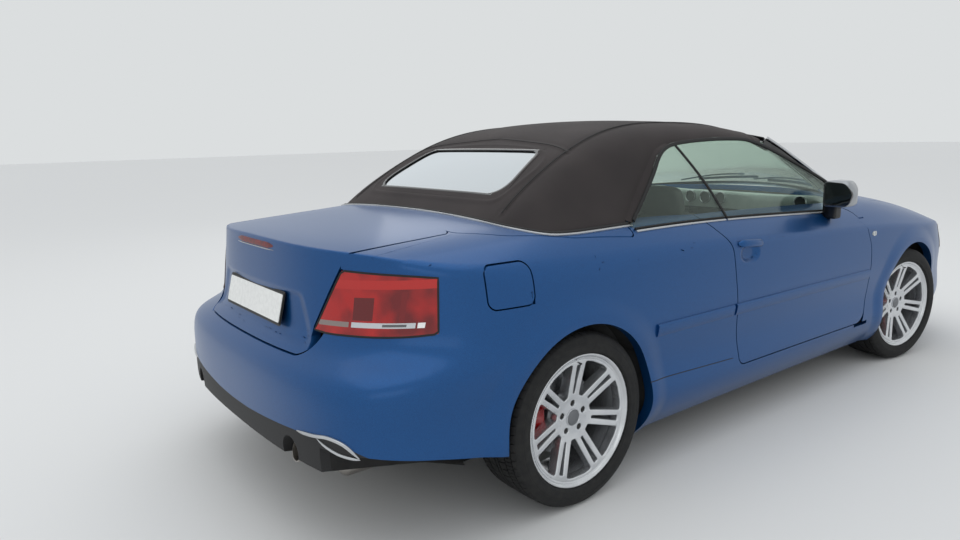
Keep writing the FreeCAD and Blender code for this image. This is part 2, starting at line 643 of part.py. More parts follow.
# the tub ends behind the rear seat; the boot's floor, sides and rear panel are welded sections behind it
TUB_END, BOOT_HALF = along(-1020), 500
tub = underbody.cut(block(REAR - 100, TUB_END, -WIDTH, WIDTH, 0, HIGH))
keep("underbody", solids_over(tub, 1e6))
WELL_END, BOOT_END = along(-1500), along(-2085)
sections = [
    block(WELL_END, TUB_END - SEAT, -WIDTH, WIDTH, 0, HIGH),
    block(REAR - 100, WELL_END - SEAT, BOOT_HALF, WIDTH, 0, HIGH),
    block(REAR - 100, WELL_END - SEAT, -WIDTH, -BOOT_HALF, 0, HIGH),
    block(BOOT_END, WELL_END - SEAT, -BOOT_HALF + SEAT, BOOT_HALF - SEAT, 0, HIGH),
    block(REAR - 100, BOOT_END - SEAT, -BOOT_HALF + SEAT, BOOT_HALF - SEAT, 0, HIGH),
]
keep("rear_structure", solids_over(Part.makeCompound([underbody.common(s) for s in sections]), 2e5))
# the flap's corner swings close round its pin
swing_room = Part.makeCylinder(12, 42, Vector(FLAP_HINGE_X, -FLAP_HINGE_Y, FLAP_FOOT - 2))
side_panels = side_panels.cut(fused([slot, mirrored(slot), swing_room])).fuse(flap_pin(PIN_R, 60))
keep("body_sides", solids_over(side_panels, 1e5))

# Cabin


def rounded(shape, radius, edges=None):
    try:
        return shape.makeFillet(radius, edges or shape.Edges)
    except Exception:
        return shape


cushion = rounded(block(along(-40), along(470), -250, 250, FLOOR_Z + SEAT, up(440)), 30)
backrest = rounded(block(-75, 75, -245, 245, 0, 600), 35)
backrest.rotate(Vector(0, 0, 0), Vector(0, 1, 0), -22)
backrest.translate(Vector(along(-60), 0, up(400)))
headrest = rounded(block(-45, 45, -130, 130, 0, 150), 30)
headrest.rotate(Vector(0, 0, 0), Vector(0, 1, 0), -16)
headrest.translate(Vector(along(-285), 0, up(930)))
seat = fused([cushion, backrest, headrest])
seat.translate(Vector(0, -370, 0))
keep("front_seats", pair(seat))

bench = rounded(block(along(-940), along(-560), -560, 560, SEAT_BASE_Z + SEAT, up(510)), 30)
bench_back = rounded(block(-60, 60, -560, 560, 0, 430), 30)
bench_back.rotate(Vector(0, 0, 0), Vector(0, 1, 0), -14)
bench_back.translate(Vector(along(-870), 0, up(460)))
rear_seat = bench.fuse(bench_back).common(block(along(-999), 0, -574, 574, 0, HIGH))
keep("rear_seat", rear_seat)

DASH = [
    (984, 640, 0), (984, 905, 20), (900, 935, 60), (700, 925, 40), (610, 870, 40), (600, 740, 40), (720, 640, 30),
]
dash = side_prism(DASH, -CABIN_HALF + SEAT, CABIN_HALF - SEAT)
CONSOLE = [
    (984, 0, 0), (984, 700, 0), (690, 700, 60), (560, 590, 60), (200, 560, 100), (-330, 600, 40), (-340, 0, 0),
]
console = side_prism(CONSOLE, -100, 100).cut(block(-LENGTH, LENGTH, -WIDTH, WIDTH, 0, TUNNEL_Z + SEAT))
dashboard = dash.fuse(console).cut(outer_clear.cut(under_top(SKIN + 8)))

# Running gear, drawn for a left hand wheel at the origin: +Y points outwards


def turned(points, axis=Vector(0, 1, 0)):
    """(y, radius) points revolved about the wheel's own axis."""
    wire = Part.makePolygon([Vector(r, y, 0) for y, r in points] + [Vector(points[0][1], points[0][0], 0)])
    return Part.Face(wire).revolve(Vector(0, 0, 0), axis, 360)


def tube(radius, y_from, y_to):
    return Part.makeCylinder(radius, y_to - y_from, Vector(0, y_from, 0), Vector(0, 1, 0))


TYRE_R, HALF_TYRE = WHEEL_Z, dim("tyre_width") / 2
RIM_R, HALF_RIM = dim("rim_diameter") / 2, dim("rim_width") / 2
SEAT_R = RIM_R - 17.4
BARREL_IN = SEAT_R - dim("rim_wall")
tyre = turned([
    (-HALF_RIM + 10.5, SEAT_R + SEAT), (-HALF_RIM + 10.5, RIM_R + 2), (-HALF_TYRE + 3, RIM_R + 18),
    (-HALF_TYRE, RIM_R + 36), (-HALF_TYRE + 3, TYRE_R - 24), (-HALF_TYRE + 12, TYRE_R - 8),
    (-HALF_TYRE + 24, TYRE_R - 1.5), (-40, TYRE_R), (40, TYRE_R), (HALF_TYRE - 24, TYRE_R - 1.5),
    (HALF_TYRE - 12, TYRE_R - 8), (HALF_TYRE - 3, TYRE_R - 24), (HALF_TYRE, RIM_R + 36),
    (HALF_TYRE - 3, RIM_R + 18), (HALF_RIM - 10.5, RIM_R + 2), (HALF_RIM - 10.5, SEAT_R + SEAT),
    (HALF_RIM - 24, SEAT_R + SEAT), (HALF_RIM - 24, RIM_R + 6), (HALF_TYRE - 14, RIM_R + 36),
    (HALF_TYRE - 20, TYRE_R - 14), (-HALF_TYRE + 20, TYRE_R - 14), (-HALF_TYRE + 14, RIM_R + 36),
    (-HALF_RIM + 24, RIM_R + 6), (-HALF_RIM + 24, SEAT_R + SEAT),
])
barrel = turned([
    (-HALF_RIM, BARREL_IN + 6), (-HALF_RIM, RIM_R), (-HALF_RIM + 10, RIM_R), (-HALF_RIM + 10, SEAT_R),
    (HALF_RIM - 10, SEAT_R), (HALF_RIM - 10, RIM_R), (HALF_RIM, RIM_R), (HALF_RIM, RIM_R - 8),
    (HALF_RIM - 16, BARREL_IN), (-HALF_RIM + 10, BARREL_IN),
])
HUB_FACE, MOUNT_FACE, RIM_FACE = 62, 28.5, HALF_RIM - 8
hub_r = dim("hub_radius")
dish = turned([
    (MOUNT_FACE, 24), (MOUNT_FACE, hub_r), (RIM_FACE - dim("spoke_depth"), BARREL_IN + 1),
    (RIM_FACE, BARREL_IN + 1), (HUB_FACE + 6, hub_r + 30), (HUB_FACE, hub_r - 10), (HUB_FACE, 24),
])
bars = []
for pair_index in range(int(dim("spoke_pairs"))):
    for sign in (-1, 1):
        half = dim("spoke_width") / 2
        near, far = sign * dim("spoke_spread_hub") / 2, sign * dim("spoke_spread_rim") / 2
        corners = [
            Vector(near - half, 0, hub_r - 14), Vector(near + half, 0, hub_r - 14),
            Vector(far + half, 0, BARREL_IN + 4), Vector(far - half, 0, BARREL_IN + 4),
        ]
        bar = Part.Face(Part.makePolygon(corners + corners[:1])).extrude(Vector(0, 150, 0))
        bar.rotate(Vector(0, 0, 0), Vector(0, 1, 0), 360 / dim("spoke_pairs") * pair_index)
        bars.append(bar)
bars = fused(bars).fuse(tube(hub_r, 0, 150))
BORE_R = 22
disc_r, disc_t = dim("disc_diameter") / 2, dim("disc_thickness")
DISC_Y = 2
rotor = turned([
    (DISC_Y - disc_t, 84), (DISC_Y - disc_t, disc_r), (DISC_Y, disc_r), (DISC_Y, 94), (MOUNT_FACE + 1, 94),
    (MOUNT_FACE + 1, BORE_R + SEAT), (MOUNT_FACE - 8, BORE_R + SEAT), (MOUNT_FACE - 8, 84),
])
wheel = fused([dish.common(bars), barrel, rotor])
wheel = wheel.cut(tube(BORE_R + SEAT, -200, HUB_FACE - 8))
for index in range(int(dim("bolt_count"))):
    angle = math.radians(90 + 360 / dim("bolt_count") * index)
    at = Vector(dim("bolt_circle") / 2 * math.cos(angle), 0, dim("bolt_circle") / 2 * math.sin(angle))
    hole = Part.makeCylinder(dim("bolt_radius"), 100, at, Vector(0, 1, 0))
    seat_cut = Part.makeCylinder(dim("bolt_radius") + 5, 40, at + Vector(0, HUB_FACE - 12, 0), Vector(0, 1, 0))
    wheel = wheel.cut(hole.fuse(seat_cut))

caliper_block = rounded(block(-196, -104, -60, 27, -72, 72), 8)
caliper = caliper_block.cut(tube(disc_r + 6, DISC_Y - disc_t - 5.5, DISC_Y + 5.5))
caliper = solids_over(caliper, 1e4)
kingpin = dim("kingpin_offset")
bearing = tube(45, -kingpin, -32).fuse(tube(BORE_R, -40, HUB_FACE - 10))
bracket = block(-130, 0, -84, -60 - SEAT, -34, 34)
upright = rounded(block(-25, 25, -kingpin - 25, -kingpin + 25, -122, 122), 6)
pin_line = Part.makeCylinder(14, 300, Vector(0, -kingpin, -150))
front_knuckle = fused([bearing, bracket, upright, pin_line])
arm_plan = [
    (Vector(30, -kingpin + 28, 0), 20), (Vector(-30, -kingpin + 28, 0), 20),
    (Vector(-110, FRONT_HOUSE_Y + SEAT - WHEEL_Y, 0), 0), (Vector(110, FRONT_HOUSE_Y + SEAT - WHEEL_Y, 0), 0),
]
arm = Part.Face(outline(arm_plan)).extrude(Vector(0, 0, 22))
arm = arm.cut(Part.makeCylinder(14 + SEAT, 40, Vector(0, -kingpin, -5)))
arms = []
for z in (-150, 128):
    placed = arm.copy()
    placed.translate(Vector(FRONT_AXLE, WHEEL_Y, WHEEL_Z + z))
    arms += [placed, mirrored(placed)]
crossmember = block(FRONT_AXLE - 110, FRONT_AXLE + 110, -398, 398, up(230) + SEAT, dim("engine_base") - SEAT)
keep("front_suspension", Part.makeCompound(arms + [crossmember]))
rear_carrier = fused([
    bearing, bracket, rounded(block(-30, 30, -kingpin - 20, -kingpin + 25, -150, 150), 6),
    block(-90, 90, REAR_HOUSE_Y + SEAT - WHEEL_Y, -kingpin, -150, -126),
    block(-40, 40, REAR_HOUSE_Y + SEAT - WHEEL_Y, -kingpin, 126, 150),
])
rear_carrier.translate(Vector(REAR_AXLE, WHEEL_Y, WHEEL_Z))
rear_cross = block(REAR_AXLE - 145, REAR_AXLE + 145, -590, 590, up(172), up(200) - SEAT)
keep("rear_suspension", Part.makeCompound([rear_carrier, mirrored(rear_carrier), rear_cross]))
rear_caliper = caliper.copy()
rear_caliper.translate(Vector(REAR_AXLE, WHEEL_Y, WHEEL_Z))
keep("rear_brake_calipers", pair(rear_caliper))

STEER = dim("steer_at_rest")
for end, axle in (("front", FRONT_AXLE), ("rear", REAR_AXLE)):
    for side in ("left", "right"):
        made = {f"tyre_{end}_{side}": tyre, f"wheel_{end}_{side}": wheel}
        if end == "front":
            made[f"knuckle_{side}"] = front_knuckle
            made[f"brake_caliper_{side}"] = caliper
        for label, drawn in made.items():
            shape = drawn.copy()
            shape.translate(Vector(axle, WHEEL_Y, WHEEL_Z))
            if side == "right":
                shape = mirrored(shape)
            if end == "front":
                at = Vector(axle, (WHEEL_Y - kingpin) * (1 if side == "left" else -1), 0)
                shape.rotate(at, Vector(0, 0, 1), -STEER)
            keep(label, shape)

# Engine, tank and exhaust


def primitive(kind, label, **sizes):
    """A plain solid in the document; a size given as text is an expression on the spreadsheet."""
    item = doc.addObject(kind, label)
    for name, value in sizes.items():
        path = ".Placement.Base." + name if name in "xyz" else name
        if isinstance(value, str) or name in "xyz":
            item.setExpression(path, str(value))
        else:
            setattr(item, name, value)
    return item


def finished(item):
    pieces[item.Label] = item
    return item


engine_block = primitive(
    "Part::Box", "engine_block",
    Length="Dimensions.engine_length", Width="Dimensions.engine_width", Height="Dimensions.engine_height",
    x="Dimensions.overall_length / 2 - Dimensions.front_overhang - 200",
    y="-Dimensions.engine_width / 2", z="Dimensions.engine_base",
)
engine = finished(doc.addObject("Part::Fillet", "engine"))
engine.Base = engine_block
engine.Edges = [(index, 25.0, 25.0) for index in range(1, 13)]
tank_shell = primitive(
    "Part::Box", "tank_shell",
    Length="Dimensions.tank_length", Width="Dimensions.tank_width", Height="Dimensions.tank_height",
    x=along(-970), y="-Dimensions.tank_width / 2", z="Dimensions.tank_foot",
)
tank_saddle = primitive(
    "Part::Box", "tank_saddle",
    Length="Dimensions.tank_length + 20", Width=160, Height=115,
    x=along(-980), y=-80, z="Dimensions.tank_foot",
)
fuel_tank = finished(doc.addObject("Part::Cut", "fuel_tank"))
fuel_tank.Base, fuel_tank.Tool = tank_shell, tank_saddle
pipe_z = up(246)
pipe = Part.makeCylinder(dim("pipe_radius"), along(900) - along(-1760), Vector(along(-1760), 0, pipe_z), Vector(1, 0, 0))
muffler = rounded(block(along(-2110), along(-1750), -510, 510, up(206), up(303)), 30)
exhaust = pipe.fuse(muffler)
for sign in (-1, 1):
    exhaust = exhaust.fuse(tailpipe(sign, dim("tailpipe_radius"), 0, 98))
    exhaust = exhaust.cut(tailpipe(sign, dim("tailpipe_radius") - 4, 40, 100))
keep("exhaust", exhaust)

# Steering wheel on its column, and door mirrors

COLUMN_TILT, STEERING_RATIO, COLUMN_R = 24, 16, 22
STEERING_AT = Vector(along(470), 370, up(800))


def on_column(shape):
    """Moves a shape drawn about +Z, which points at the driver, onto the steering column."""
    shape.rotate(Vector(0, 0, 0), Vector(0, 1, 0), COLUMN_TILT - 90)
    shape.translate(STEERING_AT)
    return shape


def column_rod(radius, start, length):
    return Part.makeCylinder(radius, length, Vector(0, 0, start - length))


steering_wheel = finished(doc.addObject("Part::MultiFuse", "steering_wheel"))
steering_wheel.Shapes = [
    primitive(
        "Part::Torus", "steering_rim",
        Radius1="Dimensions.steering_wheel_radius", Radius2="Dimensions.steering_rim_radius",
    ),
    primitive("Part::Cylinder", "steering_boss", Radius=70, Height=40, z=-25),
    primitive("Part::Cylinder", "steering_shaft", Radius=COLUMN_R, Height=190, z=-202),
    primitive(
        "Part::Box", "steering_spokes", Length="2 * Dimensions.steering_wheel_radius", Width=32, Height=12,
        x="-Dimensions.steering_wheel_radius", y=-16, z=-8,
    ),
    primitive(
        "Part::Box", "steering_lower_spoke", Length=32, Width="Dimensions.steering_wheel_radius", Height=12,
        x=-16, y="-Dimensions.steering_wheel_radius", z=-8,
    ),
]
spin = FreeCAD.Rotation(Vector(0, 0, 1), -90 - STEER * STEERING_RATIO)
tilt = FreeCAD.Rotation(Vector(0, 1, 0), COLUMN_TILT - 90)
steering_wheel.Placement = FreeCAD.Placement(STEERING_AT, tilt.multiply(spin))
shroud = on_column(column_rod(48, -60, 130))
dashboard = dashboard.fuse(shroud).cut(on_column(column_rod(COLUMN_R + SEAT, 0, 230)))
keep("dashboard", solids_over(dashboard, 1e6))

MIRROR_PLAN = [(368, -816, 20), (368, -966, 35), (430, -962, 60), (486, -890, 60), (486, -816, 30)]
MIRROR_END = [(-816, 953, 22), (-816, 1080, 30), (-925, 1074, 60), (-968, 1020, 40), (-948, 955, 35)]
housing = plan_prism(MIRROR_PLAN, up(900), up(1150)).common(end_prism(MIRROR_END, along(300), along(600)))
housing = rounded(housing, 12)
stalk = rounded(block(along(400), along(462), -across(870), -across(800), up(890), up(990)), 12)
mirror = housing.fuse(stalk).cut(outer_clear)
keep("mirror_right", solids_over(mirror, 1e4))
keep("mirror_left", mirrored(solids_over(mirror, 1e4)))

doc.recompute()
for item in doc.Objects:
    if {"Invalid", "Error"} & set(item.State):
        raise RuntimeError(f"{item.Label} failed: {item.State}")
os.makedirs("parts", exist_ok=True)
for label, feature in pieces.items():
    shape = feature.Shape
    if shape.isNull() or not shape.isValid() or not shape.Solids:
        raise RuntimeError(f"{label} has no sound shape")
    shape.exportStep(f"parts/{label}.step")
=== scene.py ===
# %% [markdown]
# # A convertible car, dressed over its CAD frame
# The CAD model gives every solid at its real place and size. This lesson gives each one the surface that the
# real car shows: satin paint over softly creased panels, woven roof cloth, cast and lacquered wheels, moulded
# tread, clear and red lamp plastic, glass, trim and a trimmed cabin.
# All lengths are in metres, +X is forward and +Z is up, with the origin on the ground under the car's middle.

# %% Load the frame
import json
import math

import bmesh
import bpy
import numpy as np
from mathutils import Matrix, Vector

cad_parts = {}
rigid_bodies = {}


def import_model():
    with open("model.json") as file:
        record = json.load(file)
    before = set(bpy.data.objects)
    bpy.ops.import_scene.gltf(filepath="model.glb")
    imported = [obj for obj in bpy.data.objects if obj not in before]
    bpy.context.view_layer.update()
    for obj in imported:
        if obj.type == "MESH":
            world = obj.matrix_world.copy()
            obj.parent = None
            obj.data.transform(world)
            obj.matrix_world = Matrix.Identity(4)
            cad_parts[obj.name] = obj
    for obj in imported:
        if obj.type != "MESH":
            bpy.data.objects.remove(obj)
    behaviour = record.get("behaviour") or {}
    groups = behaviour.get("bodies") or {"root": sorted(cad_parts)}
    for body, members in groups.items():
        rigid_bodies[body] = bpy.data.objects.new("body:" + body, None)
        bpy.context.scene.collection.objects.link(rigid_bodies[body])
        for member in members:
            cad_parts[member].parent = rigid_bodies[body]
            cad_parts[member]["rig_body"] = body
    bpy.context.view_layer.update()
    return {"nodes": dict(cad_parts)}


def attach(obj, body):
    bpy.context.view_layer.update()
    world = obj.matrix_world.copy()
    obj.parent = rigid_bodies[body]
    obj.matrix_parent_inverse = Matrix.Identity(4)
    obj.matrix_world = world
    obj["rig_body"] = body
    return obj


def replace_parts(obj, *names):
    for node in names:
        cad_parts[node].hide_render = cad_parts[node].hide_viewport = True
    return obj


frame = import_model()
nodes = frame["nodes"]

# %% [markdown]
# ## Camera
# The photograph looks at the car from behind its right rear corner, from about eye height, through a short
# lens. The wheels' rims and the rear plate have known sizes, so the eye's place was worked out from them.

# %% Camera
EYE = Vector((-3.096, -2.570, 1.334))
YAW, PITCH, ROLL = 0.916, -0.186, -0.023
LENS_MM, SENSOR_MM = 26.9, 36.0


def in_scene(thing):
    bpy.context.scene.collection.objects.link(thing)
    return thing


def add_camera():
    ahead = Vector((math.cos(PITCH) * math.cos(YAW), math.cos(PITCH) * math.sin(YAW), math.sin(PITCH)))
    level = ahead.cross(Vector((0, 0, 1))).normalized()
    upright = level.cross(ahead)
    right = math.cos(ROLL) * level + math.sin(ROLL) * upright
    top = math.cos(ROLL) * upright - math.sin(ROLL) * level
    data = bpy.data.cameras.new("photo_camera")
    data.lens, data.sensor_width = LENS_MM, SENSOR_MM
    data.clip_end = 200
    camera = in_scene(bpy.data.objects.new("photo_camera", data))
    turn = Matrix((right, top, -ahead)).transposed().to_4x4()
    camera.matrix_world = Matrix.Translation(EYE) @ turn
    bpy.context.scene.camera = camera


add_camera()

# %% [markdown]
# ## Floor and light
# The car stands outdoors under a bright, even sky. Here a pale floor runs into a pale world, one large soft
# lamp overhead stands for the bright sky, and two weaker ones give the sides their shape.

# %% Shader tools


def srgb(code):
    """A hex colour such as 'a0b0c0' as linear red, green, blue and alpha."""
    parts = [int(code[i : i + 2], 16) / 255 for i in (0, 2, 4)]
    return tuple(c / 12.92 if c <= 0.04045 else ((c + 0.055) / 1.055) ** 2.4 for c in parts) + (1.0,)


def node_in(material, kind, links=(), **values):
    """Adds a shader node, sets its properties and sockets by name, and links sockets to it."""
    tree = material.node_tree
    made = tree.nodes.new(kind)
    for key, value in values.items():
        name = key.replace("_", " ")
        if hasattr(made, key):
            setattr(made, key, value)
        else:
            made.inputs[name].default_value = value
    for socket, source in links:
        tree.links.new(source, made.inputs[socket])
    return made


def math_in(material, operation, *values, **more):
    """The result of a Math node, whose inputs are numbers or other nodes' outputs."""
    made = node_in(material, "ShaderNodeMath", operation=operation, **more)
    for socket, value in zip(made.inputs, values):
        if isinstance(value, float):
            socket.default_value = value
        else:
            material.node_tree.links.new(value, socket)
    return made.outputs[0]


def stops_of(material, source, stops):
    """The colours of a ramp with (place, colour) stops."""
    ramp = node_in(material, "ShaderNodeValToRGB", [("Fac", source)])
    elements = ramp.color_ramp.elements
    while len(elements) < len(stops):
        elements.new(0.5)
    for element, (at, colour) in zip(elements, stops):
        element.position, element.color = at, colour
    return ramp.outputs["Color"]


def ramp_of(material, source, low, high, at=(0.35, 0.65)):
    return stops_of(material, source, [(at[0], srgb(low)), (at[1], srgb(high))])


def mixed(material, share, first, second):
    """Two colours mixed by a share or a mask."""
    mix = node_in(material, "ShaderNodeMix", [(0, share), (6, first)], data_type="RGBA")
    if isinstance(second, str):
        mix.inputs[7].default_value = srgb(second)
    else:
        material.node_tree.links.new(second, mix.inputs[7])
    return mix.outputs[2]


def mixed_shader(material, share, first, second):
    sources = [(0, share), (1, first.outputs[0]), (2, second.outputs[0])]
    return node_in(material, "ShaderNodeMixShader", sources)


def principled(material, colour, links=(), **own):
    return node_in(material, "ShaderNodeBsdfPrincipled", [("Base Color", colour), *links], **own)


def new_material(name, kind="materials"):
    material = getattr(bpy.data, kind).new(name)
    material.use_nodes = True
    material.node_tree.nodes.clear()
    return material


def finish_material(material, shader, bump=None, kind="ShaderNodeOutputMaterial"):
    if bump is not None:
        material.node_tree.links.new(bump.outputs["Normal"], shader.inputs["Normal"])
    node_in(material, kind, [("Surface", shader.outputs[0])])
    return material


# %% Floor and light
FLOOR_SIZE = 60


def add_floor():
    material = new_material("pale_floor")
    noise = node_in(material, "ShaderNodeTexNoise", Scale=2.0, Detail=6.0)
    tone = ramp_of(material, noise.outputs["Fac"], "d0d0ce", "d8d8d6", (0, 1))
    finish_material(material, principled(material, tone, Roughness=0.85))
    mesh = bpy.data.meshes.new("studio_floor")
    corners = [(x * FLOOR_SIZE, y * FLOOR_SIZE, 0) for x, y in ((-1, -1), (1, -1), (1, 1), (-1, 1))]
    mesh.from_pydata(corners, [], [(0, 1, 2, 3)])
    mesh.materials.append(material)
    in_scene(bpy.data.objects.new("studio_floor", mesh))


def add_area(name, place, aim, size, watts, colour=(1, 1, 1)):
    data = bpy.data.lights.new(name, "AREA")
    data.shape, data.size, data.size_y = "RECTANGLE", size[0], size[1]
    data.energy, data.color = watts, colour
    lamp = in_scene(bpy.data.objects.new(name, data))
    lamp.location = place
    lamp.rotation_euler = (Vector(aim) - Vector(place)).to_track_quat("-Z", "Y").to_euler()


def add_world():
    """A sky that is darker at the horizon, and one even pale tone for what the camera and gloss see."""
    world = new_material("pale_sky", "worlds")
    bpy.context.scene.world = world
    place = node_in(world, "ShaderNodeTexCoord")
    split = node_in(world, "ShaderNodeSeparateXYZ", [(0, place.outputs["Generated"])])
    stops = [(0.0, srgb("83878a")), (0.10, srgb("b9bec3")), (0.55, srgb("f4f7fb"))]
    tone = stops_of(world, split.outputs["Z"], stops)
    sky = node_in(world, "ShaderNodeBackground", [("Color", tone)], Strength=1.12)
    seen = node_in(world, "ShaderNodeBackground", Color=srgb("dbdedf"), Strength=1.0)
    path = node_in(world, "ShaderNodeLightPath")
    seen_by = path.outputs["Is Camera Ray"]
    for name in ("Is Glossy Ray", "Is Transmission Ray"):
        seen_by = math_in(world, "MAXIMUM", seen_by, path.outputs[name])
    finish_material(world, mixed_shader(world, seen_by, sky, seen), kind="ShaderNodeOutputWorld")


add_floor()
add_world()
add_area("sky_panel", (-1.0, 0.5, 6.5), (0, 0, 0), (9, 7), 105, (0.97, 0.985, 1.0))
add_area("side_panel", (-5.5, -6.0, 3.2), (-0.6, -0.4, 0.5), (5, 2.5), 18)
add_area("far_panel", (4.5, 6.0, 3.5), (0.5, 0, 0.6), (5, 3), 35)
bpy.context.scene.view_settings.view_transform = "Standard"


# %% [markdown]
# ## The body's surfaces
# The CAD body is a side wall that runs round the car under a crowned top. Both are smooth surfaces over
# small nets of poles. The same poles are used here, so a panel's mesh can be made fine and laid exactly on
# them, with true normals, softened creases, wheel arch flares and recesses.

# %% Surfaces
# plan outline, rear centre to front centre: x and y at the bumpers, x and y at the deck, in millimetres
PLAN = [
    (-2290, 0, -2168, 0), (-2290, 260, -2168, 250), (-2266, 560, -2127, 480), (-2193, 775, -1997, 693),
    (-2013, 867, -1842, 803), (-1753, 887, -1640, 853), (-1402, 894, -1350, 871), (-901, 891, -900, 873),
    (-300, 888, -300, 871), (300, 888, 300, 869), (851, 890, 850, 865), (1352, 894, 1350, 855),
    (1703, 874, 1650, 838), (1993, 792, 1902, 748), (2183, 690, 2062, 640), (2266, 520, 2132, 465),
    (2290, 260, 2167, 240), (2290, 0, 2167, 0),
]
# height, tuck under, share of the deck outline at the rear, the front and the side, hollow of the side
WALL_ROWS = [
    (170, 80, 0, 0, 0, 0), (205, 45, 0, 0, 0, 0), (260, 15, 0, 0, 0, 0), (320, 2, 0, 0, 0, 0),
    (380, 0, 0, 0, 0, 9), (440, 0, 0, 0, 0, 17), (500, 0, 0, 0.05, 0, 14), (555, 0, 0.02, 0.1, 0, 6),
    (610, 0, 0.10, 0.2, 0.05, 1), (650, 0, 0.55, 0.35, 0.12, 0), (690, 0, 0.82, 0.5, 0.2, 0),
    (770, 0, 0.90, 0.7, 0.45, 0), (860, 0, 0.96, 0.9, 0.8, 0), (950, 0, 1.02, 1.1, 1.25, 0),
    (1060, 0, 1.08, 1.3, 1.9, 0),
]
END_COLUMNS = 5
# along the car, height at the middle and at y 560, 700, 780 and 866
TOP_STATIONS = [
    (-2350, 975, 950, 925, 895, 850), (-2166, 1000, 975, 948, 905, 862), (-2000, 1004, 990, 962, 925, 880),
    (-1800, 1014, 1002, 975, 940, 893), (-1600, 1030, 1015, 990, 955, 900),
    (-1300, 1048, 1034, 1010, 975, 905), (-900, 1055, 1040, 1018, 985, 903),
    (-450, 1050, 1035, 1010, 975, 893), (0, 1035, 1020, 992, 958, 866),
    (450, 1015, 1000, 972, 938, 848), (900, 995, 975, 950, 912, 828),
    (1150, 975, 955, 930, 892, 812), (1500, 925, 900, 872, 835, 780),
    (1750, 870, 840, 810, 780, 745), (1950, 805, 775, 745, 715, 690),
    (2120, 735, 705, 670, 640, 620), (2350, 630, 600, 570, 540, 520),
]
TOP_Y = (0, 280, 560, 700, 780, 866, 990)
# fabric roof, along the car, then its height at each y of ROOF_Y
ROOF_STATIONS = [
    (330, 1296, 1288, 1266, 1243, 1215, 1120, 960, 880), (190, 1340, 1332, 1312, 1290, 1262, 1140, 960, 880),
    (0, 1377, 1369, 1350, 1322, 1284, 1145, 960, 870), (-300, 1396, 1389, 1370, 1340, 1294, 1150, 960, 870),
    (-620, 1393, 1387, 1371, 1338, 1288, 1150, 962, 870),
    (-860, 1361, 1357, 1347, 1315, 1265, 1140, 970, 870),
    (-1080, 1282, 1281, 1276, 1255, 1215, 1115, 975, 870),
    (-1280, 1172, 1172, 1168, 1155, 1130, 1075, 975, 860),
    (-1430, 1078, 1078, 1074, 1062, 1045, 1010, 950, 850), (-1520, 1000, 1000, 994, 980, 965, 935, 890, 830),
    (-1620, 920, 920, 915, 900, 885, 860, 820, 780),
]
ROOF_Y = (0, 300, 500, 585, 632, 690, 765, 800)
FRONT_AXLE, REAR_AXLE, WHEEL_Y, WHEEL_Z = 1.3075, -1.3465, 0.7615, 0.3225
ARCH_RADIUS = 0.3585


def basis(t, count, degree=3):
    """The values of count clamped B-spline basis functions at each t."""
    inner = np.linspace(0, 1, count - degree + 1)
    knots = np.concatenate([np.zeros(degree), inner, np.ones(degree)])
    t = np.clip(t, 0, 1 - 1e-12)[:, None]
    value = ((t >= knots[:-1]) & (t < knots[1:])).astype(float)
    for p in range(1, degree + 1):
        left_span, right_span = knots[p:-1] - knots[: -p - 1], knots[p + 1 :] - knots[1:-p]
        left = np.where(left_span > 0, (t - knots[: -p - 1]) / np.where(left_span > 0, left_span, 1), 0)
        right = np.where(right_span > 0, (knots[p + 1 :] - t) / np.where(right_span > 0, right_span, 1), 0)
        value = left * value[:, :-1] + right * value[:, 1:]
    return value


def wall_poles():
    rows, last = [], len(PLAN) - 1
    for height, tuck, rear_share, front_share, side_share, hollow in WALL_ROWS:
        half = []
        for i, (x_low, y_low, x_high, y_high) in enumerate(PLAN):
            at_rear, at_front = i < END_COLUMNS, i > last - END_COLUMNS
            share = rear_share if at_rear else front_share if at_front else side_share
            x, y = x_low + (x_high - x_low) * share, y_low + (y_high - y_low) * share
            facing_end = max(0.0, 1 - min(i, last - i) / END_COLUMNS)
            x -= math.copysign(tuck * min(1.0, 1.6 * facing_end), x)
            if 0 < i < last:
                corner = 0.3 if facing_end < 0.9 else 0.0
                y -= tuck * min(1.0, 1.6 * (1 - facing_end) + corner) + hollow * (1 - facing_end)
            half.append((x, y))
        rows.append([(x, -y) for x, y in half] + [(x, y) for x, y in half[-2::-1]])
    return np.array(rows) / 1000


def top_poles():
    rows = []
    for _, middle, z560, z700, z780, z866 in TOP_STATIONS:
        half = [middle, middle - 0.2 * (middle - z560), z560, z700, z780, z866, z866 - 1.3 * (990 - 866)]
        rows.append(half[:0:-1] + half)
    return np.array(rows) / 1000


def roof_poles():
    return np.array([list(s[:1:-1]) + list(s[1:]) for s in ROOF_STATIONS]) / 1000


WALL = wall_poles()
WALL_Z = np.array([r[0] for r in WALL_ROWS]) / 1000
TURNS = np.linspace(0, 0.5, 1001)
RISES = np.linspace(0, 1, 401)


def unit(v):
    return v / np.linalg.norm(v, axis=-1, keepdims=True)


def wall_tables():
    """The right hand half of the wall as a fine grid of points and outward normals."""
    around, upward = basis(TURNS, WALL.shape[1]), basis(RISES, len(WALL_Z))
    xy = np.einsum("rj,jik,ui->ruk", upward, WALL, around, optimize=True)
    heights = np.repeat((upward @ WALL_Z)[:, None], len(TURNS), 1)
    points = np.concatenate([xy, heights[:, :, None]], 2)
    normals = unit(np.cross(np.gradient(points, axis=1), np.gradient(points, axis=0)))
    return points, normals


WALL_POINTS, WALL_NORMALS = wall_tables()


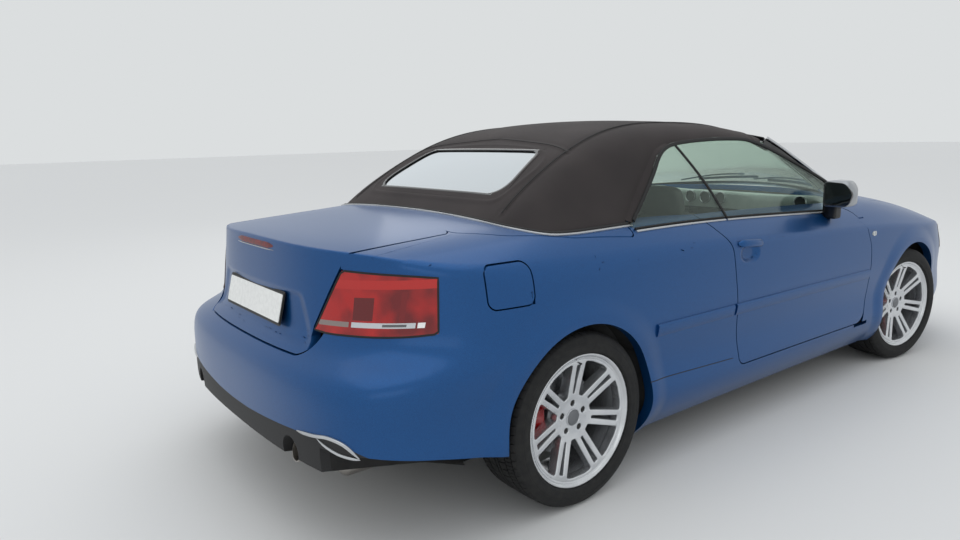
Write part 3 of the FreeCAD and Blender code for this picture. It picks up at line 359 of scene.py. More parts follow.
def look(table, row, column):
    """Values between a table's entries, at fractional rows and columns."""
    r = np.clip(row, 0, table.shape[0] - 1.001)
    c = np.clip(column, 0, table.shape[1] - 1.001)
    i, j = r.astype(int), c.astype(int)
    fr, fc = (r - i)[:, None], (c - j)[:, None]
    low = table[i, j] * (1 - fc) + table[i, j + 1] * fc
    high = table[i + 1, j] * (1 - fc) + table[i + 1, j + 1] * fc
    return low * (1 - fr) + high * fr


class Net:
    """A surface whose x depends on u alone and y on v alone: a height over the plan."""

    def __init__(self, xs, ys, heights, step=0.005):
        xs, half = np.array(xs, float) / 1000, np.array(ys, float) / 1000
        ys = np.concatenate([-half[:0:-1], half])
        fine = np.linspace(0, 1, 3001)
        x_fine, y_fine = basis(fine, len(xs)) @ xs, basis(fine, len(ys)) @ ys
        turned = -1 if x_fine[0] > x_fine[-1] else 1
        x_fine, fine_x = x_fine[::turned], fine[::turned]
        self.low, self.step = (x_fine[0], y_fine[0]), step
        gx, gy = np.arange(x_fine[0], x_fine[-1], step), np.arange(y_fine[0], y_fine[-1], step)
        u, v = np.interp(gx, x_fine, fine_x), np.interp(gy, y_fine, fine)
        z = basis(u, len(xs)) @ heights @ basis(v, len(ys)).T
        dx, dy = np.gradient(z, step)
        self.table = np.stack([z, -dx, -dy], 2)

    def found(self, x, y):
        return look(self.table, (x - self.low[0]) / self.step, (y - self.low[1]) / self.step)

    def height(self, x, y):
        return self.found(x, y)[:, 0]

    def signed(self, p):
        """Signed distance above the surface, and its normal, at each point."""
        found = self.found(p[:, 0], p[:, 1])
        normal = np.column_stack([found[:, 1:], np.ones(len(p))])
        length = np.linalg.norm(normal, axis=1)
        return (p[:, 2] - found[:, 0]) / length, normal / length[:, None]


TOP = Net([s[0] for s in TOP_STATIONS], TOP_Y, top_poles())
ROOF = Net([s[0] for s in ROOF_STATIONS], ROOF_Y, roof_poles())


def wall_signed(p):
    """Signed distance outside the wall, and its normal, at each point."""
    side = np.where(p[:, 1] > 0, -1.0, 1.0)
    right = p * np.column_stack([np.ones(len(p)), side, np.ones(len(p))])
    row = np.interp(right[:, 2], WALL_POINTS[:, 0, 2], np.arange(len(RISES)))
    column = np.empty(len(p))
    for start in range(0, len(p), 20000):
        part = slice(start, start + 20000)
        track = WALL_POINTS[np.rint(row[part]).astype(int), ::10, :2]
        column[part] = ((track - right[part, None, :2]) ** 2).sum(2).argmin(1) * 10.0
    for _ in range(4):
        here = look(WALL_POINTS, row, column)
        slope = look(WALL_POINTS, row, column + 0.5) - look(WALL_POINTS, row, column - 0.5)
        across = ((right - here) * slope)[:, :2].sum(1) / np.maximum((slope[:, :2] ** 2).sum(1), 1e-12)
        column = np.clip(column + across, 0, len(TURNS) - 1)
    here, normal = look(WALL_POINTS, row, column), unit(look(WALL_NORMALS, row, column))
    distance = ((right - here) * normal).sum(1)
    normal[:, 1] *= side
    return distance, normal


def smooth_step(x, low, high):
    t = np.clip((x - low) / (high - low), 0, 1)
    return t * t * (3 - 2 * t)


# How far the shoulder crease is softened along the car: the rear quarter's is the softest
CREASE_X = (-2.2, -1.5, -0.9, -0.3, 0.9, 1.6, 2.2)
CREASE_BLEND = (0.020, 0.030, 0.026, 0.014, 0.010, 0.010, 0.016)
LID_BLEND = 0.007


def arch_flare(p):
    """The arches' soft outward flare, with a short flat lip at the edge."""
    height = np.zeros(len(p))
    for axle in (FRONT_AXLE, REAR_AXLE):
        reach = np.hypot(p[:, 0] - axle, p[:, 2] - WHEEL_Z) - ARCH_RADIUS
        flare = 0.011 * (1 - smooth_step(reach, 0.012, 0.105))
        height += flare * (np.abs(p[:, 1]) > 0.70)
    return height


def pocket(p, x, z, half_x, half_z, depth, edge, corner):
    """A soft edged hollow in a side panel, about (x, z)."""
    dx, dz = np.abs(p[:, 0] - x) / half_x, np.abs(p[:, 2] - z) / half_z
    power = 2 / corner
    reach = (dx**power + dz**power) ** (1 / power)
    return -depth * (1 - smooth_step(reach, 1 - edge, 1))


def tilted_by(raised, p, normal, step_size):
    """A surface's normals after it is raised by raised(points)."""
    slope = np.zeros_like(p)
    for axis in range(3):
        step = np.zeros(3)
        step[axis] = step_size
        slope[:, axis] = (raised(p + step) - raised(p - step)) / (2 * step_size)
    slope -= normal * (slope * normal).sum(1)[:, None]
    return unit(normal - slope)


def body_form(p, extra=()):
    """How far each point is outside the finished body, the CAD normal there and the finished one."""
    out_wall, n_wall = wall_signed(p)
    out_top, n_top = TOP.signed(p)
    over_the_lid = (np.abs(p[:, 1]) < 0.70) & (p[:, 0] < -1.9)
    blend = np.where(over_the_lid, LID_BLEND, np.interp(p[:, 0], CREASE_X, CREASE_BLEND))
    apart = out_wall - out_top
    share = np.clip(1 - np.abs(apart) / blend, 0, 1)
    wall_part = np.where(apart > 0, 1 - share / 2, share / 2)
    outside = np.maximum(out_wall, out_top) + blend / 4 * share**2
    normal = n_wall * wall_part[:, None] + n_top * (1 - wall_part)[:, None]
    normal = unit(normal)

    def raised(q):
        return arch_flare(q) + sum(shape(q) for shape in extra)

    return outside - raised(p), normal, tilted_by(raised, p, normal, 0.0015)


def on_body(points, lift=0.0, extra=()):
    """Points moved onto the finished body, lifted off it, with the body's normals there."""
    p = np.array(points, float).reshape(-1, 3)
    for _ in range(5):
        outside, normal, tilted = body_form(p, extra)
        p = p - normal * (outside - lift)[:, None]
    return p, tilted


# %% [markdown]
# ## Meshes from CAD panels
# A panel keeps its CAD outline and shut lines. Its outer face is cut finer, most of all at arches and creases
# and in recesses, laid on the finished body and given the body's own normals.

# %% Panel meshes


def reworked(mesh, *steps):
    """Runs editing steps on a mesh."""
    work = bmesh.new()
    work.from_mesh(mesh)
    for step in steps:
        step(work)
    work.to_mesh(mesh)
    work.free()


def merged(distance):
    return lambda work: bmesh.ops.remove_doubles(work, verts=work.verts, dist=distance)


def facing_out(work):
    bmesh.ops.recalc_face_normals(work, faces=work.faces)


def in_triangles(work):
    bmesh.ops.triangulate(work, faces=work.faces)


def without_slivers(work):
    bmesh.ops.dissolve_degenerate(work, edges=work.edges, dist=1e-5)


def cad_mesh(node, name):
    """A copy of a CAD node's mesh as a new piece, its corners joined."""
    copy = in_scene(bpy.data.objects.new(name, nodes[node].data.copy()))
    reworked(copy.data, merged(2e-5), without_slivers, in_triangles)
    copy.data.materials.clear()
    return copy


def coordinates(mesh):
    flat = np.empty(len(mesh.vertices) * 3, np.float32)
    mesh.vertices.foreach_get("co", flat)
    return flat.reshape(-1, 3).astype(float)


def move_to(mesh, points):
    mesh.vertices.foreach_set("co", points.astype(np.float32).ravel())
    mesh.update()


def shade_smooth(mesh):
    mesh.polygons.foreach_set("use_smooth", np.ones(len(mesh.polygons), bool))


def cut_finer(mesh, wanted, faces_of, passes=7):
    """Halves the edges of chosen faces until each is no longer than wanted(middle points)."""

    def step(work):
        for _ in range(passes):
            work.edges.ensure_lookup_table()
            work.faces.ensure_lookup_table()
            edges = list({e for f in faces_of(work) for e in f.edges})
            if not edges:
                break
            middles = np.array([(e.verts[0].co + e.verts[1].co) / 2 for e in edges])
            lengths = np.array([e.calc_length() for e in edges])
            long = [e for e, cut in zip(edges, lengths > wanted(middles)) if cut]
            if not long:
                break
            bmesh.ops.subdivide_edges(work, edges=long, cuts=1)
            bmesh.ops.triangulate(work, faces=[f for f in work.faces if len(f.verts) > 3])

    reworked(mesh, step)


def body_grain(middles):
    """How long an edge may be at each place on the body."""
    size = np.full(len(middles), 0.055)
    for axle in (FRONT_AXLE, REAR_AXLE):
        reach = np.hypot(middles[:, 0] - axle, middles[:, 2] - WHEEL_Z) - ARCH_RADIUS
        near = (reach < 0.12) & (np.abs(middles[:, 1]) > 0.7)
        size = np.where(near, 0.016, size)
    return size


def grid_faces(rows, count, wrap=True, close=False):
    """Faces between rows of points; wrap joins each row's ends, close joins the last row to the first."""
    faces = []
    for i in range(rows if close else rows - 1):
        here, there = i * count, (i + 1) % rows * count
        for k in range(count if wrap else count - 1):
            after = (k + 1) % count
            faces.append((here + k, here + after, there + after, there + k))
    return faces


def prism_faces(n):
    """A prism's faces, its points being two loops of n."""
    return [tuple(range(n - 1, -1, -1)), tuple(range(n, 2 * n))] + grid_faces(2, n)


def drawn_mesh(thing):
    """An object's mesh after its modifiers."""
    return bpy.data.meshes.new_from_object(thing.evaluated_get(bpy.context.evaluated_depsgraph_get()))


def cut_to(piece, outline):
    """Keeps what of a piece is inside a (y, z) outline, all along the car."""
    mesh = bpy.data.meshes.new("cutter")
    mesh.from_pydata([(x, y, z) for x in (-3, 3) for y, z in outline], [], prism_faces(len(outline)))
    cutter = in_scene(bpy.data.objects.new("cutter", mesh))
    reworked(mesh, facing_out)
    modifier = piece.modifiers.new("cut", "BOOLEAN")
    modifier.operation, modifier.solver, modifier.object = "INTERSECT", "EXACT", cutter
    bpy.context.view_layer.update()
    made = drawn_mesh(piece)
    piece.modifiers.clear()
    piece.data = made
    bpy.data.objects.remove(cutter)
    reworked(made, in_triangles)


ON_SURFACE = 0.0012


def laid_panel(piece, plain, lay, grain):
    """Cuts a CAD panel's outer face finer and lays it on its finished form, with that form's normals.

    plain(points) gives distance and normal on the CAD form, and lay(points) the finished places and normals.
    """
    mesh = piece.data

    def outer_faces(work):
        work.verts.index_update()
        on = np.abs(plain(np.array([v.co for v in work.verts]))[0]) < ON_SURFACE
        centre = np.array([f.calc_center_median() for f in work.faces])
        facing = np.array([f.normal for f in work.faces])
        flat = (facing * plain(centre)[1]).sum(1) > 0.75
        return [f for f, ok in zip(work.faces, flat) if ok and all(on[v.index] for v in f.verts)]

    cut_finer(mesh, grain, outer_faces)
    work = bmesh.new()
    work.from_mesh(mesh)
    outer = {f.index for f in outer_faces(work)}
    work.free()
    p = coordinates(mesh)
    on_outer = np.zeros(len(p), bool)
    for polygon in mesh.polygons:
        if polygon.index in outer:
            on_outer[list(polygon.vertices)] = True
    normals_at = np.zeros((len(p), 3))
    p[on_outer], normals_at[on_outer] = lay(p[on_outer])
    move_to(mesh, p)
    normals = [
        tuple(normals_at[v]) if polygon.index in outer else tuple(polygon.normal)
        for polygon in mesh.polygons for v in polygon.vertices
    ]
    shade_smooth(mesh)
    mesh.normals_split_custom_set(normals)
    return outer


def body_distance(p):
    """Distance outside the CAD's own body, where the wall and the top meet in a sharp edge."""
    out_wall, n_wall = wall_signed(p)
    out_top, n_top = TOP.signed(p)
    wall = (out_wall > out_top)[:, None]
    return np.maximum(out_wall, out_top), np.where(wall, n_wall, n_top)


def skin_panel(node, name, extra=(), grain=body_grain, outline=None):
    """The CAD panel, made fine and laid on the finished body, with the body's normals on its outer face."""
    piece = cad_mesh(node, name)
    if outline:
        cut_to(piece, outline)

    def grain_here(middles):
        size = grain(middles)
        apart = np.abs(wall_signed(middles)[0] - TOP.signed(middles)[0])
        return np.where(apart < 0.036, np.minimum(size, 0.014), size)

    laid_panel(piece, body_distance, lambda p: on_body(p, 0.0, extra), grain_here)
    return piece


def dressed(piece, body, slot, node):
    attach(piece, body)
    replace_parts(piece, node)
    return piece


# %% [markdown]
# ## Materials
# Each material is named for the real one. Patterns are in Object coordinates, and a number that is the same
# all over a surface is set on the shader's own socket.

# %% Materials
NOISE, CELLS = "ShaderNodeTexNoise", "ShaderNodeTexVoronoi"


def own_place(material):
    """The piece's own coordinates, which are the car's, in metres."""
    return node_in(material, "ShaderNodeTexCoord").outputs["Object"]


def own_axes(material):
    """The same as X, distance from the car's middle, and Z."""
    split = node_in(material, "ShaderNodeSeparateXYZ", [("Vector", own_place(material))])
    return split.outputs["X"], math_in(material, "ABSOLUTE", split.outputs["Y"]), split.outputs["Z"]


def grain(material, scale, detail=4.0, kind=NOISE, stretch=(1, 1, 1)):
    """A pattern in the piece's own coordinates."""
    mapped = node_in(material, "ShaderNodeMapping", [("Vector", own_place(material))], Scale=stretch)
    more = {"Detail": detail} if kind == NOISE else {}
    return node_in(material, kind, [("Vector", mapped.outputs["Vector"])], Scale=scale, **more)


def bump_of(material, source, strength, distance):
    return node_in(material, "ShaderNodeBump", [("Height", source)], Strength=strength, Distance=distance)


def surface(name, low, high, scale, rough, bump=None, stretch=(1, 1, 1), **own):
    """A material whose colour and roughness vary with one pattern; bump is strength, depth and scale."""
    material = new_material(name)
    pattern = grain(material, scale, stretch=stretch).outputs["Fac"]
    links = []
    if isinstance(rough, float):
        own["Roughness"] = rough
    else:
        span = node_in(material, "ShaderNodeMapRange", [("Value", pattern)], To_Min=rough[0], To_Max=rough[1])
        links = [("Roughness", span.outputs["Result"])]
    shader = principled(material, ramp_of(material, pattern, low, high), links, **own)
    relief = None
    if bump:
        strength, depth, fine = bump
        relief = bump_of(material, grain(material, fine, stretch=stretch).outputs["Fac"], strength, depth)
    return finish_material(material, shader, relief)


def paint_in(material):
    """Satin metallic paint, flake under a broad, soft clear coat: gives its shader and its flake."""
    flake = grain(material, 1400, kind=CELLS)
    tone = ramp_of(material, flake.outputs["Color"], "0b4078", "155894", (0.1, 0.9))
    coat = {"Coat_Weight": 0.40, "Coat_Roughness": 0.16, "Coat_IOR": 1.5}
    return principled(material, tone, Metallic=0.72, Roughness=0.38, **coat), flake


def satin_paint():
    material = new_material("satin_metallic_blue_paint")
    shader, flake = paint_in(material)
    return finish_material(material, shader, bump_of(material, flake.outputs["Distance"], 0.03, 0.0003))


def insert_paint():
    """Body paint, with the grained insert below a line that rises and falls with distance from the middle."""
    material = new_material("painted_bumper_with_grained_insert")
    along, across, height = own_axes(material)
    line = [(0.0, 0.402), (0.15, 0.405), (0.41, 0.421), (0.59, 0.432), (0.65, 0.437), (0.715, 0.425)]
    line += [(0.775, 0.392), (0.79, 0.0)]
    edge = stops_of(material, across, [(at, (z, z, z, 1)) for at, z in line])
    below = math_in(material, "LESS_THAN", height, edge)
    mask = math_in(material, "MULTIPLY", below, math_in(material, "LESS_THAN", along, -1.98))
    speck = grain(material, 520).outputs["Fac"]
    relief = bump_of(material, speck, 0.35, 0.0007)
    black = ramp_of(material, speck, "161617", "222223")
    grained = principled(material, black, [("Normal", relief.outputs["Normal"])], Roughness=0.6)
    return finish_material(material, mixed_shader(material, mask, paint_in(material)[0], grained))


def roof_cloth():
    """Acrylic roof cloth: a fine rib each way, dusty on top."""
    material = new_material("woven_acrylic_roof_cloth")
    ribs = []
    for way in ("X", "Y"):
        links = [("Vector", own_place(material))]
        wave = node_in(material, "ShaderNodeTexWave", links, Scale=260.0, Distortion=0.6, bands_direction=way)
        ribs.append(wave.outputs["Fac"])
    weave = math_in(material, "MAXIMUM", *ribs)
    tone = ramp_of(material, grain(material, 3.5, 6.0).outputs["Fac"], "292424", "373130", (0.3, 0.75))
    sheen = {"Sheen_Weight": 0.12, "Sheen_Roughness": 0.5, "Sheen_Tint": srgb("a39c98")}
    shader = principled(material, tone, Roughness=0.95, **sheen)
    return finish_material(material, shader, bump_of(material, weave, 0.25, 0.0006))


def window_glass(name, tint, base, shine):
    """Glass that lets light straight through, and mirrors more as it is seen edge on."""
    material = new_material(name)
    clear = node_in(material, "ShaderNodeBsdfTransparent", Color=srgb(tint))
    gloss = node_in(material, "ShaderNodeBsdfGlossy", Color=srgb(shine), Roughness=0.02)
    edge = node_in(material, "ShaderNodeLayerWeight", Blend=0.5).outputs["Facing"]
    steep = math_in(material, "POWER", edge, 4.0)
    share = math_in(material, "MULTIPLY_ADD", steep, 0.8, base, use_clamp=True)
    return finish_material(material, mixed_shader(material, share, clear, gloss))


def ground_iron():
    """A brake disc's ground iron."""
    material = new_material("ground_cast_iron_disc")
    links = [("Vector", own_place(material))]
    streak = node_in(material, NOISE, links, Scale=90.0, Detail=5.0).outputs["Fac"]
    tone = ramp_of(material, streak, "6d6e70", "8e8f91")
    shader = principled(material, tone, Metallic=0.9, Roughness=0.34, Anisotropic=0.5)
    return finish_material(material, shader, bump_of(material, streak, 0.1, 0.0005))


def lens(name, low, high, ribs, rough, metal):
    """Lamp lens plastic: a ribbed reflector shows through a smooth clear skin."""
    material = new_material(name)
    facet = grain(material, ribs, kind=CELLS, stretch=(1, 1, 0.25)).outputs["Distance"]
    tone = ramp_of(material, facet, high, low, (0.05, 0.75))
    shader = principled(material, tone, Metallic=metal, Roughness=rough, Coat_Weight=1.0, Coat_Roughness=0.03)
    return finish_material(material, shader, bump_of(material, facet, 0.18, 0.002))


def tail_lens():
    """One moulding in several colours, set apart by height and distance from the car's middle."""
    material = new_material("tail_lamp_moulding")
    _, across, height = own_axes(material)
    level = math_in(material, "MULTIPLY_ADD", across, -0.033, height)
    facet = grain(material, 95.0, kind=CELLS, stretch=(1, 1, 0.3)).outputs["Distance"]
    wide = node_in(material, NOISE, [("Vector", own_place(material))], Scale=9.0, Detail=2.0).outputs["Fac"]
    colour = ramp_of(material, wide, "70060c", "b31613", (0.35, 0.62))
    # distance from the middle and height, each as a place and a half width, and the colour there
    fields = (
        (0.614, 0.030, 0.786, 0.036, "64080c"), (0.716, 0.006, 0.790, 0.050, "78090e"),
        (0.660, 0.150, 0.862, 0.014, "bb211c"), (0.515, 0.058, 0.736, 0.0082, "8c7d78"),
        (0.664, 0.082, 0.736, 0.0082, "c9ccce"), (0.700, 0.028, 0.736, 0.004, "5f5f60"),
        (0.757, 0.007, 0.736, 0.0082, "f4f4f2"),
    )
    for out_to, half_width, up_to, half_height, code in fields:
        beside = math_in(material, "COMPARE", across, out_to, half_width)
        beyond = math_in(material, "COMPARE", level, up_to, half_height)
        colour = mixed(material, math_in(material, "MULTIPLY", beside, beyond), colour, code)
    shader = principled(material, colour, Metallic=0.3, Roughness=0.22, Coat_Weight=0.6, Coat_Roughness=0.04)
    return finish_material(material, shader, bump_of(material, facet, 0.12, 0.0012))


def tub_material():
    """Underseal outside, carpet on the floor and soft trim above it inside the cabin."""
    material = new_material("underseal_carpet_and_trim")
    along, across, height = own_axes(material)
    inside = math_in(material, "LESS_THAN", across, 0.760)
    for source, test, limit in (
        (height, "GREATER_THAN", 0.199), (along, "GREATER_THAN", -1.19), (along, "LESS_THAN", 0.99),
    ):
        inside = math_in(material, "MULTIPLY", inside, math_in(material, test, source, limit))
    high = math_in(material, "GREATER_THAN", height, 0.50)
    coarse, fine = grain(material, 18).outputs["Fac"], grain(material, 260).outputs["Fac"]
    seal = ramp_of(material, coarse, "161616", "232221")
    tuft = ramp_of(material, fine, "1b1b1b", "2c2c2b")
    trim = ramp_of(material, coarse, "3a3b3b", "454645")
    shader = principled(
        material, mixed(material, inside, seal, mixed(material, high, tuft, trim)), Roughness=0.85,
    )
    return finish_material(material, shader, bump_of(material, fine, 0.4, 0.0014))


PAINT, BUMPER_PAINT, CLOTH = satin_paint(), insert_paint(), roof_cloth()
GLASS = window_glass("green_tinted_window_glass", "f1f7f3", 0.04, "dfe9e3")
REAR_GLASS = window_glass("heated_rear_window_glass", "b4c2bb", 0.80, "f4f9fd")
DISC, TAIL_LENS, TUB = ground_iron(), tail_lens(), tub_material()
CLEAR_LENS = lens("clear_lamp_lens", "8f9496", "e9eef0", 120.0, 0.1, 0.7)
HEAD_LENS = lens("headlamp_glass", "8d9498", "c3c9cc", 40.0, 0.08, 0.4)


def coat(weight, rough):
    return {"Coat_Weight": weight, "Coat_Roughness": rough}


# name, two colours, pattern's scale, roughness from and to, bump
MIRROR_GLASS = surface("silvered_mirror_glass", "20262a", "2b3338", 3, 0.06, Metallic=0.85, **coat(1.0, 0.02))
ALLOY = surface(
    "silver_lacquered_alloy", "c9cbce", "d8dadc", 12, (0.22, 0.28), (0.04, 0.0004, 300),
    Metallic=0.85, **coat(0.5, 0.08),
)
TYRE = surface(
    "moulded_tyre_rubber", "1b1b1c", "262625", 40, (0.72, 0.86), (0.22, 0.0009, 420), Specular_IOR_Level=0.35,
)
CALIPER = surface(
    "red_caliper_lacquer", "8e1116", "a4161b", 30, (0.24, 0.32), (0.06, 0.0006, 260), **coat(0.8, 0.06),
)
TRIM_BLACK = surface("satin_black_moulding", "131314", "1d1d1e", 35, (0.42, 0.52), (0.1, 0.0004, 700))
GLOSS_BLACK = surface("gloss_black_trim", "0b0b0c", "111113", 8, (0.1, 0.14), **coat(1.0, 0.03))
RUBBER = surface("seal_rubber", "0e0e0f", "171717", 60, (0.6, 0.75), (0.12, 0.0004, 600))
GRAINED = surface("grained_bumper_plastic", "1c1c1e", "272729", 30, (0.55, 0.66), (0.35, 0.0007, 520))
SATIN_METAL = surface(
    "satin_anodised_aluminium", "b6b8bb", "c9cbcd", 5, (0.24, 0.31), (0.05, 0.0003, 500), (0.2, 1, 1),
    Metallic=0.95,
)
CHASSIS = surface("underseal_black", "161616", "232221", 18, (0.75, 0.9), (0.4, 0.0015, 160))
CAST_IRON = surface("cast_iron_arm", "2f2e2d", "403d3a", 25, (0.6, 0.75), (0.35, 0.0012, 220), Metallic=0.4)
STEEL = surface(
    "brushed_exhaust_steel", "8f8b86", "aaa6a0", 14, (0.28, 0.42), (0.1, 0.0005, 320), (0.15, 1, 1),
    Metallic=0.95,
)
CAST_ALLOY = surface(
    "cast_engine_alloy", "6a6b6d", "858688", 22, (0.5, 0.65), (0.4, 0.0012, 200), Metallic=0.7,
)
LEATHER = surface(
    "grey_seat_leather", "4a4947", "5b5a57", 6, (0.45, 0.58), (0.3, 0.0009, 330), Specular_IOR_Level=0.4,
)
DARK_LEATHER = surface("black_rim_leather", "1d1c1b", "2a2927", 9, (0.42, 0.55), (0.3, 0.0008, 380))
SOFT_TRIM = surface("soft_touch_dashboard", "2c2d2e", "393a3b", 10, (0.6, 0.72), (0.35, 0.0008, 480))
PALE_TRIM = surface("pale_cabin_trim", "8d918c", "9da19b", 10, (0.55, 0.68), (0.3, 0.0008, 480))
HEADLINER = surface(
    "knitted_headliner", "54524f", "605e5a", 8, (0.9, 0.95), (0.4, 0.0006, 700), Sheen_Weight=0.3,
)
PLATE_WHITE = surface(
    "reflective_plate_white", "e6e6e2", "f0f0ec", 60, (0.3, 0.36), (0.08, 0.0003, 900), Coat_Weight=0.4,
)
CAP_GREY = surface("grey_wheel_cap", "6f7174", "7d7f82", 10, (0.34, 0.40), (0.05, 0.0003, 300), Metallic=0.6)
MIRROR_SHELL = surface(
    "satin_silver_shell", "9fa2a6", "abaeb1", 6, (0.30, 0.36), (0.04, 0.0003, 400),
    Metallic=0.8, Coat_Weight=0.4,
)
GRILLE_BLACK = surface("vent_slat_black", "111112", "1c1c1d", 200, (0.4, 0.5), (0.5, 0.002, 160))
DIAL_BLACK = surface("instrument_face", "0d0e10", "24262a", 90, (0.2, 0.24), **coat(1.0, 0.02))
# dashboard top: grey grained trim, coloured far paler than its own grey as painted light for what falls on it
# through the screen
DASH_TOP_WITH_PAINTED_LIGHT = surface("grained_dashboard_top", "a6aea9", "b6bdb8", 10, (0.55, 0.65), (0.35, 0.0008, 480))
BRAKE_RED = surface("dark_red_lamp_bar", "52070b", "7a0d12", 60, (0.30, 0.40))

# %% [markdown]
# ## Tools for pieces
# Most trim is a section swept along a smooth line that lies on the body, so it follows the panels exactly.

# %% Piece tools


def add_piece(name, mesh, material, body="car"):
    piece = in_scene(bpy.data.objects.new(name, mesh))
    mesh.materials.append(material)
    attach(piece, body)
    return piece


def mesh_of(name, points, faces, angle=32):
    mesh = bpy.data.meshes.new(name)
    mesh.from_pydata([tuple(p) for p in np.asarray(points, float)], [], [tuple(f) for f in faces])
    mesh.update()
    reworked(mesh, merged(1e-6), facing_out)
    shade_smooth(mesh)
    mesh.set_sharp_from_angle(angle=math.radians(angle))
    return mesh


def joined(name, parts, angle=32):
    """One mesh from several (points, faces)."""
    points, faces, base = [], [], 0
    for some, made in parts:
        points += [tuple(p) for p in some]
        faces += [tuple(k + base for k in f) for f in made]
        base += len(some)
    return mesh_of(name, points, faces, angle)


def flipped(parts):
    """The same parts on the car's other side."""
    made = []
    for points, faces in parts:
        made.append(([(x, -y, z) for x, y, z in points], [tuple(reversed(f)) for f in faces]))
    return made


def add_made(name, parts, material, body="car", angle=32):
    """A piece from (points, faces) parts."""
    return add_piece(name, joined(name, parts, angle), material, body)


def add_both(name, parts, material, body="car", angle=32):
    """A piece on each side of the car from the right hand one's parts, each on its own side's door."""
    for side, some in (("right", parts), ("left", flipped(parts))):
        rides_on = f"door_{side}" if body == "door" else body
        add_piece(f"{name}_{side}", joined(name, some, angle), material, rides_on)


def flow(points, spacing=0.02, closed=False):
    """A smooth line through points, at about even spacing."""
    p = np.array(points, float)
    if closed:
        p = np.vstack([p[-1:], p, p[:2]])
    else:
        p = np.vstack([2 * p[0] - p[1], p, 2 * p[-1] - p[-2]])
    made = []
    for a, b, c, d in zip(p, p[1:], p[2:], p[3:]):
        steps = max(2, int(np.linalg.norm(c - b) / spacing))
        t = (np.arange(steps) / steps)[:, None]
        bend, twist = 2 * a - 5 * b + 4 * c - d, 3 * b - a - 3 * c + d
        made.append(0.5 * (2 * b + (c - a) * t + bend * t**2 + twist * t**3))
    if not closed:
        made.append(p[-2:-1])
    return np.vstack(made)


def rounded_loop(corners, steps=5):
    """A closed 2-D outline from (x, y, radius) corners."""
    count, made = len(corners), []
    for i, (x, y, radius) in enumerate(corners):
        here = np.array([x, y], float)
        before = np.array(corners[i - 1][:2], float) - here
        after = np.array(corners[(i + 1) % count][:2], float) - here
        a, b = before / np.linalg.norm(before), after / np.linalg.norm(after)
        if radius <= 0:
            made.append(here)
            continue
        half = math.acos(max(-1, min(1, float(a @ b)))) / 2
        reach = min(radius / math.tan(half), 0.48 * np.linalg.norm(before), 0.48 * np.linalg.norm(after))
        start, end = here + a * reach, here + b * reach
        for k in range(steps + 1):
            t = k / steps
            made.append((1 - t) ** 2 * start + 2 * t * (1 - t) * here + t * t * end)
    return np.array(made)


def swept(line, normals, section, closed=False, taper=None):
    """Points and faces of a section, (across, out) pairs, along a line with a way out at each point."""
    line, normals = np.asarray(line, float), np.asarray(normals, float)
    if closed:
        along = np.roll(line, -1, 0) - np.roll(line, 1, 0)
    else:
        along = np.gradient(line, axis=0)
    along = unit(along)
    out = unit(normals - along * (normals * along).sum(1)[:, None])
    across = np.cross(along, out)
    size = np.ones(len(line)) if taper is None else taper
    points = [p + a * u * s + o * h * s for p, a, o, s in zip(line, across, out, size) for u, h in section]
    m, n = len(section), len(line)
    faces = grid_faces(n, m, close=closed)
    if not closed:
        faces += [tuple(range(m)), tuple((n - 1) * m + k for k in reversed(range(m)))]
    return points, faces


def pebble(width, height, sink=0.001, steps=6):
    """A rounded strip's section, a little sunk into what it lies on."""
    top = []
    for k in range(steps + 1):
        c, s = math.cos(math.pi * k / steps), math.sin(math.pi * k / steps)
        top.append((width / 2 * math.copysign(abs(c) ** 0.6, c), height * s**0.6))
    return [(width / 2, -sink)] + top + [(-width / 2, -sink)]


def ends_in(count, length=3):
    """A taper that draws a strip's ends in."""
    size = np.ones(count)
    for k in range(min(length, count // 2)):
        size[k] = size[-1 - k] = 0.25 + 0.75 * math.sin(math.pi / 2 * k / length)
    return size


def body_strip(points, width, height, lift=0.0, spacing=0.02, closed=False, section=None, taper=None):
    """A strip along a line laid on the body."""
    line, out = on_body(flow(points, spacing, closed), lift)
    if taper == "ends":
        taper = ends_in(len(line))
    return swept(line, out, section or pebble(width, height), closed, taper)


def lathe(profile, steps, centre=(0, 0, 0)):
    """(y, radius) pairs, outermost first, turned about an axle through a centre."""
    points = []
    for i in range(steps):
        angle = 2 * math.pi * i / steps
        c, s = math.cos(angle), math.sin(angle)
        points += [(centre[0] + r * c, centre[1] + y, centre[2] + r * s) for y, r in profile]
    return points, grid_faces(steps, len(profile), wrap=False, close=True)


def oval(half_width, half_height, count, lift=0.0):
    """An oval section of count points."""
    turns = np.linspace(0, 2 * math.pi, count + 1)[:-1]
    return [(half_width * math.cos(a), half_height * math.sin(a) + lift) for a in turns]


def resampled(line, at):
    """A line's points at shares of its count."""
    place = np.linspace(0, 1, len(line))
    return np.column_stack([np.interp(at, place, line[:, k]) for k in range(3)])


def smooth_copy(node, name, material, angle=30, slot=None):
    """A CAD node's mesh with its rounded faces shaded smooth."""
    piece = cad_mesh(node, name)
    shade_smooth(piece.data)
    piece.data.set_sharp_from_angle(angle=math.radians(angle))
    piece.data.materials.append(material)
    return dressed(piece, nodes[node]["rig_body"], slot, node)

# %% [markdown]
# ## Painted panels
# The door handle scoops and the plate recess are pressed into the panels. The rear bumper's lower middle is a
# grained insert, marked off in its material by height and distance from the middle.

# %% Painted panels
HANDLE_X, HANDLE_Z = -0.335, 0.812


def handle_scoop(p):
    return pocket(p, HANDLE_X, HANDLE_Z, 0.078, 0.043, 0.016, 0.55, 0.85) * (np.abs(p[:, 1]) > 0.8)


def plate_recess(p):
    """A recess that widens downwards, with the plate set in it."""
    half = 0.345 + 0.10 * np.clip((0.85 - p[:, 2]) / 0.2, 0, 1)
    side = 1 - smooth_step(np.abs(p[:, 1]) - half, -0.030, 0.020)
    rise = smooth_step(p[:, 2], 0.655, 0.690) * (1 - smooth_step(p[:, 2], 0.812, 0.842))
    return -0.008 * side * rise * (p[:, 0] < -2.0)


